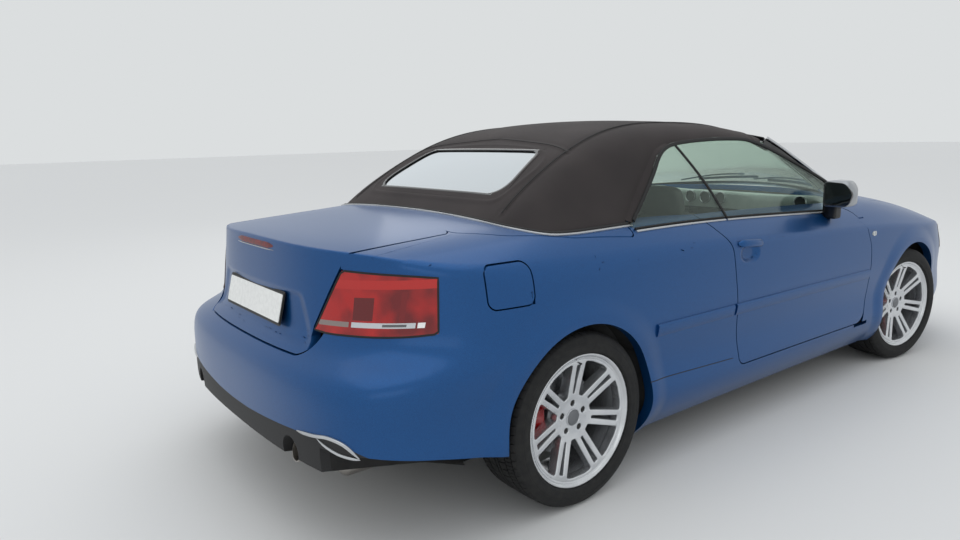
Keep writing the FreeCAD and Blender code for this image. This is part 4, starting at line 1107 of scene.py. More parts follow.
def lid_grain(middles):
    near = (middles[:, 0] < -2.0) & (middles[:, 2] < 0.87) & (middles[:, 2] > 0.64)
    edge = near & (np.abs(np.abs(middles[:, 1]) - 0.39) < 0.08)
    band = near & ((np.abs(middles[:, 2] - 0.832) < 0.02) | (np.abs(middles[:, 2] - 0.669) < 0.016))
    return np.where(edge | band, 0.008, np.where(near, 0.03, body_grain(middles)))


def door_grain(middles):
    near = (np.abs(middles[:, 0] - HANDLE_X) < 0.085) & (np.abs(middles[:, 2] - HANDLE_Z) < 0.065)
    return np.where(near, 0.007, body_grain(middles))


def lamp_grain(middles):
    return np.full(len(middles), 0.03)


def add_panel(node, name, outside, inside=CHASSIS, slot="body_paint", skin=0.026, **how):
    """A CAD panel's finished form; its faces deeper than its skin get the inside's material."""
    panel = skin_panel(node, name, **how)
    panel.data.materials.append(outside)
    panel.data.materials.append(inside)
    centres = np.array([p.center for p in panel.data.polygons])
    for polygon, is_deep in zip(panel.data.polygons, body_distance(centres)[0] < -skin):
        if is_deep:
            polygon.material_index = 1
    dressed(panel, nodes[node]["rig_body"], slot, node)


# the lid's half outline seen from behind, y and z: the real lid is narrower than the CAD one
LID_HALF = [
    (-0.400, 0.60), (-0.449, 0.645), (-0.430, 0.70), (-0.434, 0.735), (-0.527, 0.93), (-0.553, 0.972),
    (-0.563, 1.01), (-0.563, 1.3),
]
LID_OUTLINE = LID_HALF + [(-y, z) for y, z in reversed(LID_HALF)]
DOOR = {"inside": PALE_TRIM, "extra": (handle_scoop,), "grain": door_grain}
PANELS = {
    "body_sides": {}, "door_right": DOOR, "door_left": DOOR, "front_fenders": {}, "bonnet": {},
    "boot_lid": {"extra": (plate_recess,), "grain": lid_grain, "outline": LID_OUTLINE},
    "roof_well_cover": {}, "rear_bumper": {"outside": BUMPER_PAINT}, "front_bumper": {},
    "fuel_flap": {"skin": 0.009},
}
for node, how in PANELS.items():
    add_panel(node, node + "_skin", **{"outside": PAINT, **how})

# %% [markdown]
# ## Trim on the body
# Rub strips cross the doors and run on to the rear quarters. A bright strip runs along the belt and round the
# base of the roof, over a black one, and a satin blade edges the bumper's insert.

# %% Trim on the body
RUB_SECTION = [
    (-0.0265, -0.001), (-0.0255, 0.0040), (-0.0215, 0.0085), (-0.0185, 0.0095), (0.004, 0.0085),
    (0.0185, 0.0055), (0.0235, 0.0030), (0.0255, -0.001),
]
SIDE_Y = -0.9


def side_line(xs, height):
    """Points beside the car, to be laid on its side, at height(x)."""
    return [(x, SIDE_Y, height(x)) for x in xs]


def rub_strip(x_start, x_end):
    places = side_line(np.linspace(x_start, x_end, 12), lambda x: 0.5805 - 0.012 * (x + 0.45) / 1.2)
    return body_strip(places, 0, 0, section=RUB_SECTION)


def handle_grip():
    places = side_line(np.linspace(-0.423, -0.247, 8), lambda x: 0.856 - 0.10 * (x - HANDLE_X) * 0.9)
    line, out = on_body(flow(places, 0.012))
    swell = np.array([0.35, 0.8] + [1.0] * (len(line) - 4) + [0.8, 0.35])
    lifted = line + out * (0.014 * np.sin(np.linspace(0, math.pi, len(line)))[:, None] ** 0.5)
    return swept(lifted, out, oval(0.017, 0.010, 14), taper=swell)


add_both("quarter_rub_strip", [rub_strip(-0.962, -0.4585)], PAINT)
add_both("door_rub_strip", [rub_strip(-0.441, 0.772)], PAINT, "door")
add_both("door_handle", [handle_grip()], PAINT, "door", 50)
seam = [(x, SIDE_Y, z) for x, z in ((-1.0, 0.393), (-0.8, 0.385), (-0.6, 0.376), (-0.44, 0.369))]
seam_section = [(-0.00175, 0.0003), (0, 0.0005), (0.00175, 0.0003)]
add_both("sill_seam", [body_strip(seam, 0, 0, section=seam_section)], RUBBER)


def belt_line(x):
    """Where the side glass meets the door and quarter, seen from above."""
    return -0.797 + 0.0035 * math.sin(math.pi * (0.6 - x) / 1.6)


def body_top(points):
    """Points given as (x, y), put at the height of the body's top."""
    x, y = np.array(points, float).T
    return np.column_stack([x, y, TOP.height(x, y)])


ROOF_CENTRE_X = -0.90


def roof_foot(turns):
    """Where the roof meets the body's top, along rays from a point behind the seats."""
    found = []
    for turn in turns:
        low, high = 0.2, 1.0
        for _ in range(30):
            reach = (low + high) / 2
            x, y = np.array([ROOF_CENTRE_X - reach * math.cos(turn)]), np.array([-reach * math.sin(turn)])
            above = ROOF.height(x, y)[0] > TOP.height(x, y)[0]
            low, high = (reach, high) if above else (low, reach)
        found.append((ROOF_CENTRE_X - low * math.cos(turn), -low * math.sin(turn)))
    return found


def top_strip(points, width, height, lift=0.0, outward=0.0):
    line = flow(points, 0.02)
    line[:, 2] = TOP.height(line[:, 0], line[:, 1]) + lift
    section = [(u - outward, h) for u, h in pebble(width, height)]
    return swept(line, TOP.signed(line)[1], section)


half_base = body_top(roof_foot(np.linspace(math.radians(84), 0, 26)))
base_line = np.vstack([half_base, half_base[-2::-1] * (1, -1, 1)])
add_made("roof_base_bright_strip", [top_strip(base_line, 0.010, 0.006, 0.0, 0.017)], SATIN_METAL)
add_made("roof_base_black_strip", [top_strip(base_line, 0.014, 0.009, -0.001, 0.004)], RUBBER)
for part, x_start, x_end, body in (("door", -0.392, 0.585, "door"), ("quarter", -0.985, -0.405, "car")):
    places = [(x, belt_line(x)) for x in np.linspace(x_start, x_end, 20)]
    inner_places = [(x, y + 0.010) for x, y in places]
    add_both(f"{part}_belt_bright", [top_strip(body_top(places), 0.010, 0.006)], SATIN_METAL, body)
    add_both(f"{part}_belt_seal", [top_strip(body_top(inner_places), 0.008, 0.012, -0.002)], RUBBER, body)

BLADE = [(-0.50, 0.4275), (-0.59, 0.434), (-0.65, 0.441), (-0.715, 0.428), (-0.778, 0.391)]
LOWER_BLADE = [(-0.60, 0.427), (-0.63, 0.413), (-0.685, 0.396), (-0.735, 0.390), (-0.782, 0.388)]
INSERT_EDGE = [(y, 0.404 + 0.0355 * abs(y) ** 1.25) for y in np.linspace(-0.52, 0.52, 15)]


def rear_strip(points, width, height, spacing=0.015, lift=0.0):
    return body_strip([(-2.2, y, z) for y, z in points], width, height, lift, spacing, taper="ends")


blades = [rear_strip(BLADE, 0.012, 0.007), rear_strip(LOWER_BLADE, 0.009, 0.005)]
add_made("insert_blades", blades + flipped(blades), SATIN_METAL)
add_made("insert_edge", [rear_strip(INSERT_EDGE, 0.006, 0.003, lift=-0.0035)], CAP_GREY)

# %% [markdown]
# ## Plate, lamps and small body parts

# %% Plate and lamps
PLATE_TILT, PLATE_X, PLATE_Z = math.radians(14), -2.1780, 0.763


def add_plate(name, width, height, material, lift, radius=0.008):
    """A thin rounded sheet that leans with the lid's rear face."""
    corners = [(u * width / 2, v * height / 2, radius) for u, v in ((-1, -1), (1, -1), (1, 1), (-1, 1))]
    loop = rounded_loop(corners)
    lean = np.array([math.sin(PLATE_TILT), 0, math.cos(PLATE_TILT)])
    out = np.array([-math.cos(PLATE_TILT), 0, math.sin(PLATE_TILT)])
    middle = np.array([PLATE_X, 0, PLATE_Z])
    points = [middle + lean * v + out * h + (0, u, 0) for h in (lift, lift + 0.0015) for u, v in loop]
    add_made(name, [(points, prism_faces(len(loop)))], material, "boot_lid", angle=20)


add_plate("plate_holder", 0.530, 0.120, TRIM_BLACK, 0.000, 0.012)
add_plate("plate_rim", 0.520, 0.110, TRIM_BLACK, 0.0022)
add_plate("plate_blank", 0.508, 0.098, PLATE_WHITE, 0.0042, 0.006)


def brake_lamp_strip(half_width, z, width, height):
    points = [(y, z) for y in np.linspace(-half_width, half_width, 11)]
    return rear_strip(points, width, height, 0.02)


brake_lamp = brake_lamp_strip(0.172, 0.9725, 0.021, 0.003)
add_made("third_brake_lamp", [brake_lamp], BRAKE_RED, "boot_lid")
brake_lamp_edge = brake_lamp_strip(0.178, 0.9585, 0.004, 0.0035)
add_made("third_brake_lamp_edge", [brake_lamp_edge], SATIN_METAL, "boot_lid")


def laid_patch(low, high, lift, rows=24, spacing=0.012, thick=0.003):
    """A thin closed sheet between two lines, laid on the body, and its edge's line and normals."""
    low, high = flow(low, spacing), flow(high, spacing)
    n = max(len(low), len(high))
    low, high = (resampled(line, np.linspace(0, 1, n)) for line in (low, high))
    front, out = on_body(np.concatenate([low + (high - low) * t for t in np.linspace(0, 1, rows)]), lift)
    points = np.concatenate([front, front - out * thick])
    half, faces = len(front), []
    for quad in grid_faces(rows, n, wrap=False):
        faces += [quad, tuple(half + k for k in reversed(quad))]
    edge = list(range(n)) + [i * n + n - 1 for i in range(1, rows)]
    edge += [(rows - 1) * n + j for j in range(n - 2, -1, -1)] + [i * n for i in range(rows - 2, 0, -1)]
    faces += [(a, b, b + half, a + half) for a, b in zip(edge, edge[1:] + edge[:1])]
    return (points, faces), front[edge], out[edge]


def add_lamp(name, low, high, lift, material):
    """A lamp's lens on each side, with a rubber seal round it."""
    glass, edge, out = laid_patch(low, high, lift)
    add_both(f"{name}_lens", [glass], material, angle=40)
    add_both(f"{name}_seal", [swept(edge[::2], out[::2], pebble(0.0065, 0.0012), True)], RUBBER)


add_panel("tail_lamps", "tail_lamp_backing", PAINT, slot="lamp_red", grain=lamp_grain)
LAMP_FOOT = [
    (-2.142, -0.440, 0.7225), (-2.126, -0.508, 0.7185), (-2.06, -0.639, 0.7215), (-1.98, -0.735, 0.7265),
    (-1.8945, -0.787, 0.7315),
]
LAMP_HEAD = [
    (-2.084, -0.536, 0.9225), (-2.02, -0.635, 0.9170), (-1.95, -0.71, 0.9115), (-1.878, -0.770, 0.9035),
]
add_lamp("tail_lamp", LAMP_FOOT, LAMP_HEAD, 0.0016, TAIL_LENS)

# painted patches close the body between the trimmed lid and the lamp
DECK_IN = [
    (-1.690, -0.570, 1.0), (-1.85, -0.570, 1.0), (-2.0, -0.570, 0.99), (-2.08, -0.569, 0.98),
    (-2.115, -0.560, 0.974), (-2.113, -0.549, 0.955), (-2.10, -0.538, 0.929),
]
DECK_OUT = [
    (-1.690, -0.585, 1.0), (-1.85, -0.612, 1.0), (-2.0, -0.632, 0.98), (-2.05, -0.645, 0.968),
    (-2.065, -0.650, 0.955), (-2.05, -0.650, 0.942), (-2.035, -0.648, 0.922),
]
SHOULDER_LOW = [
    (-2.080, -0.540, 0.917), (-2.02, -0.635, 0.912), (-1.95, -0.71, 0.906), (-1.878, -0.770, 0.898),
    (-1.850, -0.790, 0.894),
]
SHOULDER_TOP = [
    (-2.096, -0.542, 0.940), (-2.035, -0.650, 0.948), (-1.96, -0.70, 0.948), (-1.878, -0.745, 0.945),
    (-1.850, -0.760, 0.942),
]
CORNER_LOW = [(-1.900, -0.785, 0.727), (-1.850, -0.812, 0.730)]
CORNER_TOP = [(-1.884, -0.765, 0.906), (-1.850, -0.786, 0.902)]
deck_parts = [
    laid_patch(DECK_IN, DECK_OUT, 0.0002, rows=8, spacing=0.006)[0],
    laid_patch(SHOULDER_LOW, SHOULDER_TOP, 0.0003, rows=8, spacing=0.01)[0],
    laid_patch(CORNER_LOW, CORNER_TOP, 0.0003, rows=18, spacing=0.008)[0],
]
add_both("deck_edge", deck_parts, PAINT, angle=40)

# the door's front edge, x and z: the wing's skin runs up to it over the room for the hinge
DOOR_EDGE = rounded_loop([
    (0.2, 0.25, 0), (0.70, 0.25, 0), (0.735, 0.32, 0.09), (0.784, 0.48, 0.16), (0.784, 0.72, 0.14),
    (0.712, 0.893, 0.06), (0.56, 0.965, 0.05), (0.612, 1.10, 0), (0.2, 1.1, 0),
], 8)
DOOR_EDGE = DOOR_EDGE[(DOOR_EDGE[:, 0] > 0.55) & (DOOR_EDGE[:, 1] > 0.26) & (DOOR_EDGE[:, 1] < 0.962)]
SHUT_LINE, WING_X = 0.0055, 0.802
heights = np.linspace(0.318, 0.915, 40)
near = np.interp(heights, DOOR_EDGE[:, 1], DOOR_EDGE[:, 0]) + SHUT_LINE
wing_near = [(x, SIDE_Y, z) for x, z in zip(near, heights)]
wing_far = [(max(WING_X, x + 0.004), SIDE_Y, z) for x, z in zip(near, heights)]
wing_edge = laid_patch(wing_near, wing_far, 0.0002, rows=10, spacing=0.02)[0]
add_both("wing_edge", [wing_edge], PAINT, angle=40)
TIP_PROFILE = [
    (0.070, 0.0365), (0.151, 0.0385), (0.155, 0.0375), (0.155, 0.0345), (0.149, 0.0335), (0.070, 0.0325),
]
TIP_STEPS = 40


def tip(y):
    """A bright sleeve round a tailpipe's end."""
    lean, side_way = unit(np.array([-1.0, 0, 0.3])), np.array([0.0, 1, 0])
    up_way = np.cross(lean, side_way)
    points = []
    for k in range(TIP_STEPS):
        a = 2 * math.pi * k / TIP_STEPS
        round_way = side_way * math.cos(a) + up_way * math.sin(a)
        points += [(-2.095, y, 0.294) + lean * d + round_way * r for d, r in TIP_PROFILE]
    return points, grid_faces(TIP_STEPS, len(TIP_PROFILE), close=True)


add_made("exhaust_tips", [tip(-0.46), tip(0.46)], STEEL, angle=35)
add_panel("headlamps", "headlamp_backing", TRIM_BLACK, slot="lamp_clear", grain=lamp_grain)
HEAD_LOW = [
    (2.20, -0.402, 0.594), (2.17, -0.470, 0.578), (2.12, -0.560, 0.565), (2.05, -0.660, 0.571),
    (1.97, -0.735, 0.578), (1.862, -0.800, 0.586),
]
HEAD_HIGH = [
    (2.20, -0.402, 0.700), (2.14, -0.520, 0.718), (2.06, -0.640, 0.729), (1.98, -0.725, 0.725),
    (1.862, -0.790, 0.718),
]
add_lamp("headlamp", HEAD_LOW, HEAD_HIGH, 0.0014, HEAD_LENS)
repeater_line = side_line(np.linspace(0.795, 0.845, 6), lambda x: 0.782)
repeater = body_strip(repeater_line, 0.026, 0.005, spacing=0.008, taper="ends")
add_both("side_repeater", [repeater], CLEAR_LENS)
smooth_copy("exhaust", "exhaust_system", STEEL, 40)

# %% [markdown]
# ## Fabric roof
# The cloth is stretched over its bows, so it is the CAD roof's own surface with narrow welts where its panels
# are sewn, and a raised hem round the rear window. Its inner face is the headliner.

# %% Fabric roof
SIDE_SEAM = [
    (0.10, -0.43), (-0.30, -0.45), (-0.571, -0.46), (-0.815, -0.487), (-1.034, -0.512), (-1.286, -0.534),
    (-1.44, -0.551),
]
CROSS_SEAM = [(-1.078, -0.526), (-1.042, -0.385), (-1.008, -0.159), (-0.985, 0.0)]
FRONT_SEAM = [(0.06, -0.70), (0.115, -0.35), (0.13, 0.0)]
HEM = [
    (-1.052, 0.0), (-1.055, -0.10), (-1.074, -0.30), (-1.100, -0.40), (-1.125, -0.447), (-1.160, -0.475),
    (-1.215, -0.492), (-1.300, -0.490), (-1.365, -0.482), (-1.397, -0.462), (-1.410, -0.420), (-1.414, -0.30),
    (-1.415, -0.12), (-1.415, 0.0),
]
SEAMS = [flow(line, 0.03) for line in (SIDE_SEAM, CROSS_SEAM, FRONT_SEAM)]
HEM_LINE = flow(HEM, 0.03)
CLOTH_THICKNESS, BOW_SPACING = 0.0035, 0.42


def near_line(p, line):
    """Distance across the plan from each point to a line."""
    best = np.full(len(p), 1.0)
    q = np.column_stack([p[:, 0], -np.abs(p[:, 1])])
    for a, b in zip(line, line[1:]):
        t = np.clip(((q - a) @ (b - a)) / ((b - a) @ (b - a)), 0, 1)
        best = np.minimum(best, np.linalg.norm(q - a - t[:, None] * (b - a), axis=1))
    return best


def roof_relief(p):
    """Welts at the seams, a slack valley beside each, a hem, and broad tension between the bows."""
    height = np.zeros(len(p))
    for seam in SEAMS:
        away = near_line(p, seam)
        height += 0.0022 * np.exp(-((away / 0.0055) ** 2)) - 0.0013 * np.exp(-(((away - 0.016) / 0.010) ** 2))
    height += 0.0035 * np.exp(-((near_line(p, HEM_LINE) / 0.012) ** 2))
    bows = np.sin((p[:, 0] + 0.14) * math.pi / BOW_SPACING) ** 2
    inner = smooth_step(0.60 - np.abs(p[:, 1]), 0, 0.25) * smooth_step(p[:, 0], -1.05, -0.85)
    return height - 0.0026 * bows * inner - 0.0002


def lay_on_roof(p):
    for _ in range(3):
        outside, normal = ROOF.signed(p)
        p = p - normal * (outside - roof_relief(p))[:, None]
    return p, tilted_by(roof_relief, p, ROOF.signed(p)[1], 0.001)


def roof_grain(middles):
    size = np.full(len(middles), 0.034)
    for seam in SEAMS:
        size = np.where(near_line(middles, seam) < 0.03, 0.011, size)
    return np.where(near_line(middles, HEM_LINE) < 0.03, 0.012, size)


roof = cad_mesh("soft_top", "stretched_roof_cloth")
outer = laid_panel(roof, ROOF.signed, lay_on_roof, roof_grain)
roof.data.materials.append(CLOTH)
roof.data.materials.append(HEADLINER)
centres = np.array([p.center for p in roof.data.polygons])
for polygon, is_inside in zip(roof.data.polygons, ROOF.signed(centres)[0] < -CLOTH_THICKNESS):
    polygon.material_index = 1 if is_inside else 0
dressed(roof, "car", "cloth", "soft_top")

# %% [markdown]
# The rear window sits in the cloth behind a black border, in a frame of the same cloth with rounded corners.
# Piping and stitches follow the seams.

# %% Rear window and seams


def roof_points(places, lift=0.0):
    x, y = np.array([p[:2] for p in places]).T
    line = np.column_stack([x, y, ROOF.height(x, y)])
    normal = ROOF.signed(line)[1]
    return line + normal * lift, normal


def roof_strip(places, width, height, lift, closed=False):
    line, normal = roof_points(flow([(x, y, 0) for x, y in places], 0.02, closed), lift)
    return swept(line, normal, pebble(width, height), closed)


def mirrored_loop(front, rear):
    """A rounded four cornered loop from its front and rear corners on the right."""
    corners = [front, rear, (rear[0], -rear[1], rear[2]), (front[0], -front[1], front[2])]
    return rounded_loop(corners, 6)


def window_frame(inner, outer, spacing=0.02):
    """A flat closed frame of cloth between two loops with matching corners, laid on the roof."""
    rows = [[], []]
    for k in range(len(inner)):
        after = (k + 1) % len(inner)
        steps = max(1, int(np.hypot(*(inner[after] - inner[k])) / spacing))
        for t in np.arange(steps) / steps:
            for row, loop in zip(rows, (inner, outer)):
                row.append(loop[k] + (loop[after] - loop[k]) * t)
    lifts = ((0, 0.0022), (1, 0.0016), (1, -0.002), (0, -0.002))
    loops = [roof_points(rows[row], lift)[0] for row, lift in lifts]
    return np.concatenate(loops), grid_faces(4, len(rows[0]), close=True)


smooth_copy("rear_window", "rear_window_glass", REAR_GLASS, 25, "window_glass")
BORDER = mirrored_loop((-1.093, -0.386, 0.075), (-1.377, -0.469, 0.085))
BORDER_ROOM = mirrored_loop((-1.068, -0.394, 0.020), (-1.402, -0.490, 0.020))
add_made("rear_window_frame", [window_frame(BORDER, BORDER_ROOM)], CLOTH, angle=40)
add_made("rear_window_border", [roof_strip(BORDER, 0.012, 0.0026, 0.0004, True)], GLOSS_BLACK)
piping = [roof_strip(SIDE_SEAM, 0.0045, 0.0016, 0.0018), roof_strip(CROSS_SEAM, 0.004, 0.0012, 0.0018)]
add_both("roof_piping", piping, RUBBER)
stitches = []
for offset in (0.0085, -0.0085):
    places = flow(SIDE_SEAM, 0.012) + (0, offset)
    line, normal = roof_points(places, 0.0004)
    for a, b, n in zip(line, line[1:], normal):
        if b[0] >= -1.43:
            dash = np.array([a, (a * 2 + b) / 3, (a + 2 * b) / 3])
            stitches.append(swept(dash, np.repeat([n], 3, 0), [(-0.0009, 0), (0, 0.0008), (0.0009, 0)]))
add_both("roof_stitching", stitches, RUBBER)

# %% [markdown]
# ## Wheels
# A wheel is drawn for the left side at the origin, with +Y outwards, then moved to its corner; the front ones
# also turn about their kingpins. The face is an outline with rounded windows, dished by radius and bevelled.

# %% Wheel placing
STEER, KINGPIN = math.radians(8), 0.110
WHEEL_SPOTS = {
    "front_left": (FRONT_AXLE, 1), "front_right": (FRONT_AXLE, -1),
    "rear_left": (REAR_AXLE, 1), "rear_right": (REAR_AXLE, -1),
}


def to_corner(points, spot):
    """Points drawn for a left wheel at the origin, moved to a corner of the car."""
    axle, side = WHEEL_SPOTS[spot]
    p = np.array(points, float) + (axle, WHEEL_Y, WHEEL_Z)
    p[:, 1] *= side
    if spot.startswith("front"):
        pivot = np.array([axle, side * (WHEEL_Y - KINGPIN), 0])
        c, s = math.cos(-STEER), math.sin(-STEER)
        p = (p - pivot) @ np.array([[c, s, 0], [-s, c, 0], [0, 0, 1]]) + pivot
    return p


def at_corner(name, mesh, material, spot):
    """A copy of a mesh drawn at the origin, put at a corner of the car."""
    mesh = mesh.copy()
    mesh.vertices.foreach_set("co", to_corner(coordinates(mesh), spot).astype(np.float32).ravel())
    if WHEEL_SPOTS[spot][1] < 0:
        mesh.flip_normals()
    mesh.update()
    return add_piece(f"{name}_{spot}", mesh, material, f"{spot}_wheel")


# %% [markdown]
# The spoked face: seven narrow slots split the spokes into pairs, and seven wide windows part the pairs.

# %% Spoked face
SPOKE_PAIRS, BOLTS, BOLT_REACH = 7, 5, 0.055
FACE_RADII = (0.0, 0.062, 0.072, 0.105, 0.16, 0.205, 0.225)
FACE_DEPTHS = (0.062, 0.062, 0.0635, 0.070, 0.083, 0.0945, 0.0965)


def face_depth(r):
    """How far out the wheel's face is at each radius."""
    return np.interp(r, FACE_RADII, FACE_DEPTHS)


def bolt_turns():
    return [math.pi / 2 + 2 * math.pi * k / BOLTS for k in range(BOLTS)]


def ring(radius, count=180):
    return np.array(oval(radius, radius, count))


def polar(angle, rows):
    """A rounded opening about a ray: (radius, half width, corner) rows give its corners, both sides."""
    corners = [(r, -half, c) for r, half, c in rows] + [(r, half, c) for r, half, c in reversed(rows)]
    loop = rounded_loop(corners, 6)
    dense = []
    for a, b in zip(loop, np.roll(loop, -1, 0)):
        steps = max(1, int(np.linalg.norm(b - a) / 0.006))
        dense += [a + (b - a) * k / steps for k in range(steps)]
    c, s = math.cos(angle), math.sin(angle)
    return np.array(dense) @ np.array([[c, s], [-s, c]])


def spoked_outline():
    loops = [ring(0.2235)]
    gap = math.pi / SPOKE_PAIRS
    for k in range(SPOKE_PAIRS):
        ray = math.pi / 2 + 2 * math.pi * k / SPOKE_PAIRS
        loops.append(polar(ray, [(0.090, 0.0078, 0.007), (0.150, 0.0105, 0.05), (0.2095, 0.0140, 0.008)]))
        rows = [(0.082, 0.0125, 0.010), (0.150, 0.0425, 0.10), (0.2085, 0.0690, 0.014), (0.2175, 0.030, 0.05)]
        loops.append(polar(ray + gap, rows))
    loops += [ring(0.0138, 24) + (BOLT_REACH * math.cos(a), 0.054 * math.sin(a)) for a in bolt_turns()]
    return loops


def spoked_face():
    """The outlines filled, bevelled, cut finer and dished."""
    curve = bpy.data.curves.new("spoked_outline", "CURVE")
    curve.dimensions, curve.fill_mode = "2D", "BOTH"
    curve.extrude, curve.bevel_depth, curve.bevel_resolution = 0.0112, 0.0035, 3
    for loop in spoked_outline():
        spline = curve.splines.new("POLY")
        spline.points.add(len(loop) - 1)
        spline.use_cyclic_u = True
        for point, (x, z) in zip(spline.points, loop):
            point.co = (x, z, 0, 1)
    drawn = in_scene(bpy.data.objects.new("spoked_outline", curve))
    mesh = drawn_mesh(drawn)
    bpy.data.objects.remove(drawn)
    reworked(mesh, merged(1e-6), in_triangles)

    def flat_faces(work):
        return [f for f in work.faces if abs(f.normal.z) > 0.999 and abs(f.calc_center_median().z) > 0.0115]

    cut_finer(mesh, lambda middles: np.full(len(middles), 0.011), flat_faces, 5)
    p = coordinates(mesh)
    r = np.hypot(p[:, 0], p[:, 1])
    thickness = np.interp(r, (0.07, 0.12, 0.22), (1.15, 1.0, 0.85))
    front = p[:, 2] > 0.0146
    placed = np.column_stack([p[:, 0], face_depth(r) + (p[:, 2] - 0.0147) * thickness * 1.6, p[:, 1]])
    slope = (face_depth(r + 0.002) - face_depth(r - 0.002)) / 0.004
    lean = -slope / np.maximum(r, 1e-6)
    normal = unit(np.column_stack([lean * p[:, 0], np.ones(len(p)), lean * p[:, 1]]))
    mesh.flip_normals()
    move_to(mesh, placed)
    shade_smooth(mesh)
    vertex_normals = np.empty(len(mesh.vertices) * 3, np.float32)
    mesh.vertex_normals.foreach_get("vector", vertex_normals)
    normals = np.where(front[:, None], normal, vertex_normals.reshape(-1, 3))
    mesh.normals_split_custom_set_from_vertices(normals.tolist())
    return mesh


face = spoked_face()
barrel = joined("wheel_barrel", [lathe([
    (0.0875, 0.2195), (0.0935, 0.2235), (0.0975, 0.2325), (0.1045, 0.2375), (0.1065, 0.2415),
    (0.1060, 0.2455), (0.0975, 0.2455), (0.0955, 0.2290), (0.040, 0.2260), (0.020, 0.2140), (-0.060, 0.2140),
    (-0.080, 0.2270), (-0.0965, 0.2290), (-0.0975, 0.2455), (-0.1065, 0.2455), (-0.1055, 0.2300),
    (-0.078, 0.2200), (-0.058, 0.2085), (0.020, 0.2085), (0.050, 0.2165), (0.0875, 0.2195),
], 120)], 28)
hub_parts = [lathe([(0.0475, 0.0001), (0.0475, 0.078), (0.030, 0.083), (0.030, 0.0001)], 48)]
BOLT = [(0.0560, 0.0001), (0.0560, 0.0055), (0.0545, 0.0072), (0.0475, 0.0075), (0.0475, 0.0001)]
for a in bolt_turns():
    hub_parts.append(lathe(BOLT, 6, (BOLT_REACH * math.cos(a), 0, BOLT_REACH * math.sin(a))))
hub_mesh = joined("wheel_hub_and_bolts", hub_parts, 25)
cap_mesh = joined("centre_cap", [lathe([
    (0.0690, 0.0001), (0.0688, 0.012), (0.0680, 0.021), (0.0662, 0.0262), (0.0640, 0.0285), (0.0610, 0.0290),
    (0.0600, 0.0001),
], 48)], 40)
cap_ring = joined("cap_ring", [lathe([
    (0.0640, 0.0290), (0.0655, 0.0305), (0.0650, 0.0325), (0.0625, 0.0335), (0.0605, 0.0330),
    (0.0605, 0.0290), (0.0640, 0.0290),
], 48)], 30)

DISC_RADIUS, DISC_OUT, DISC_IN = 0.150, 0.002, -0.020
# the outer plate, the inner plate, and the bell that joins the outer one to the hub
DISC_PROFILES = (
    [
        (DISC_OUT, 0.094), (DISC_OUT, 0.1485), (0.001, DISC_RADIUS), (-0.005, DISC_RADIUS), (-0.005, 0.094),
        (DISC_OUT, 0.094),
    ],
    [(-0.013, 0.088), (-0.013, DISC_RADIUS), (DISC_IN, DISC_RADIUS), (DISC_IN, 0.088), (-0.013, 0.088)],
    [
        (DISC_OUT, 0.096), (0.0245, 0.0935), (0.0285, 0.090), (0.0285, 0.030), (0.0205, 0.030),
        (0.0205, 0.086), (-0.012, 0.090), (DISC_OUT, 0.096),
    ],
)
disc_mesh = joined("ventilated_disc", [lathe(profile, 96) for profile in DISC_PROFILES], 28)
VALVE = [(0.0, 0.0001), (0.0, 0.0055), (0.010, 0.0050), (0.014, 0.0032), (0.030, 0.0030), (0.031, 0.0001)]
valve_mesh = joined("tyre_valve", [lathe(VALVE, 12, (0, 0.075, 0.2125))], 35)

# %% [markdown]
# ## Tyres
# A carcass turned on a lathe carries 64 pitches of tread. One pitch is modelled, and Geometry Nodes repeats
# it about the axle.

# %% Tyres
TYRE_RADIUS, PITCHES = 0.3225, 64
CROWN_Y = (0.040, 0.0935, 0.1055, 0.1145, 0.1165)
CROWN_RADIUS = (0.3225, 0.3200, 0.3135, 0.2995, 0.292)
BEAD = 0.2295


def carcass():
    half = [
        (0.0, 0.3150), (0.040, 0.3148), (0.0925, 0.3125), (0.1010, 0.3140), (0.1060, 0.3120),
        (0.1125, 0.3015), (0.1160, 0.2900), (0.1168, 0.2875), (0.1160, 0.2862), (0.1168, 0.2848),
        (0.1175, 0.2815), (0.1170, 0.2700), (0.1150, 0.2605), (0.1152, 0.2560), (0.1128, 0.2520),
        (0.1100, 0.2492), (0.0985, 0.2476), (0.0958, BEAD), (0.0800, BEAD),
    ]
    half_inside = [(0.080, 0.2480), (0.1035, 0.2800), (0.0975, 0.3060)]
    outline = [(-y, r) for y, r in half[::-1]] + half[1:]
    inside = half_inside + [(-y, r) for y, r in half_inside[::-1]]
    return lathe(outline + inside + outline[:1], 128)


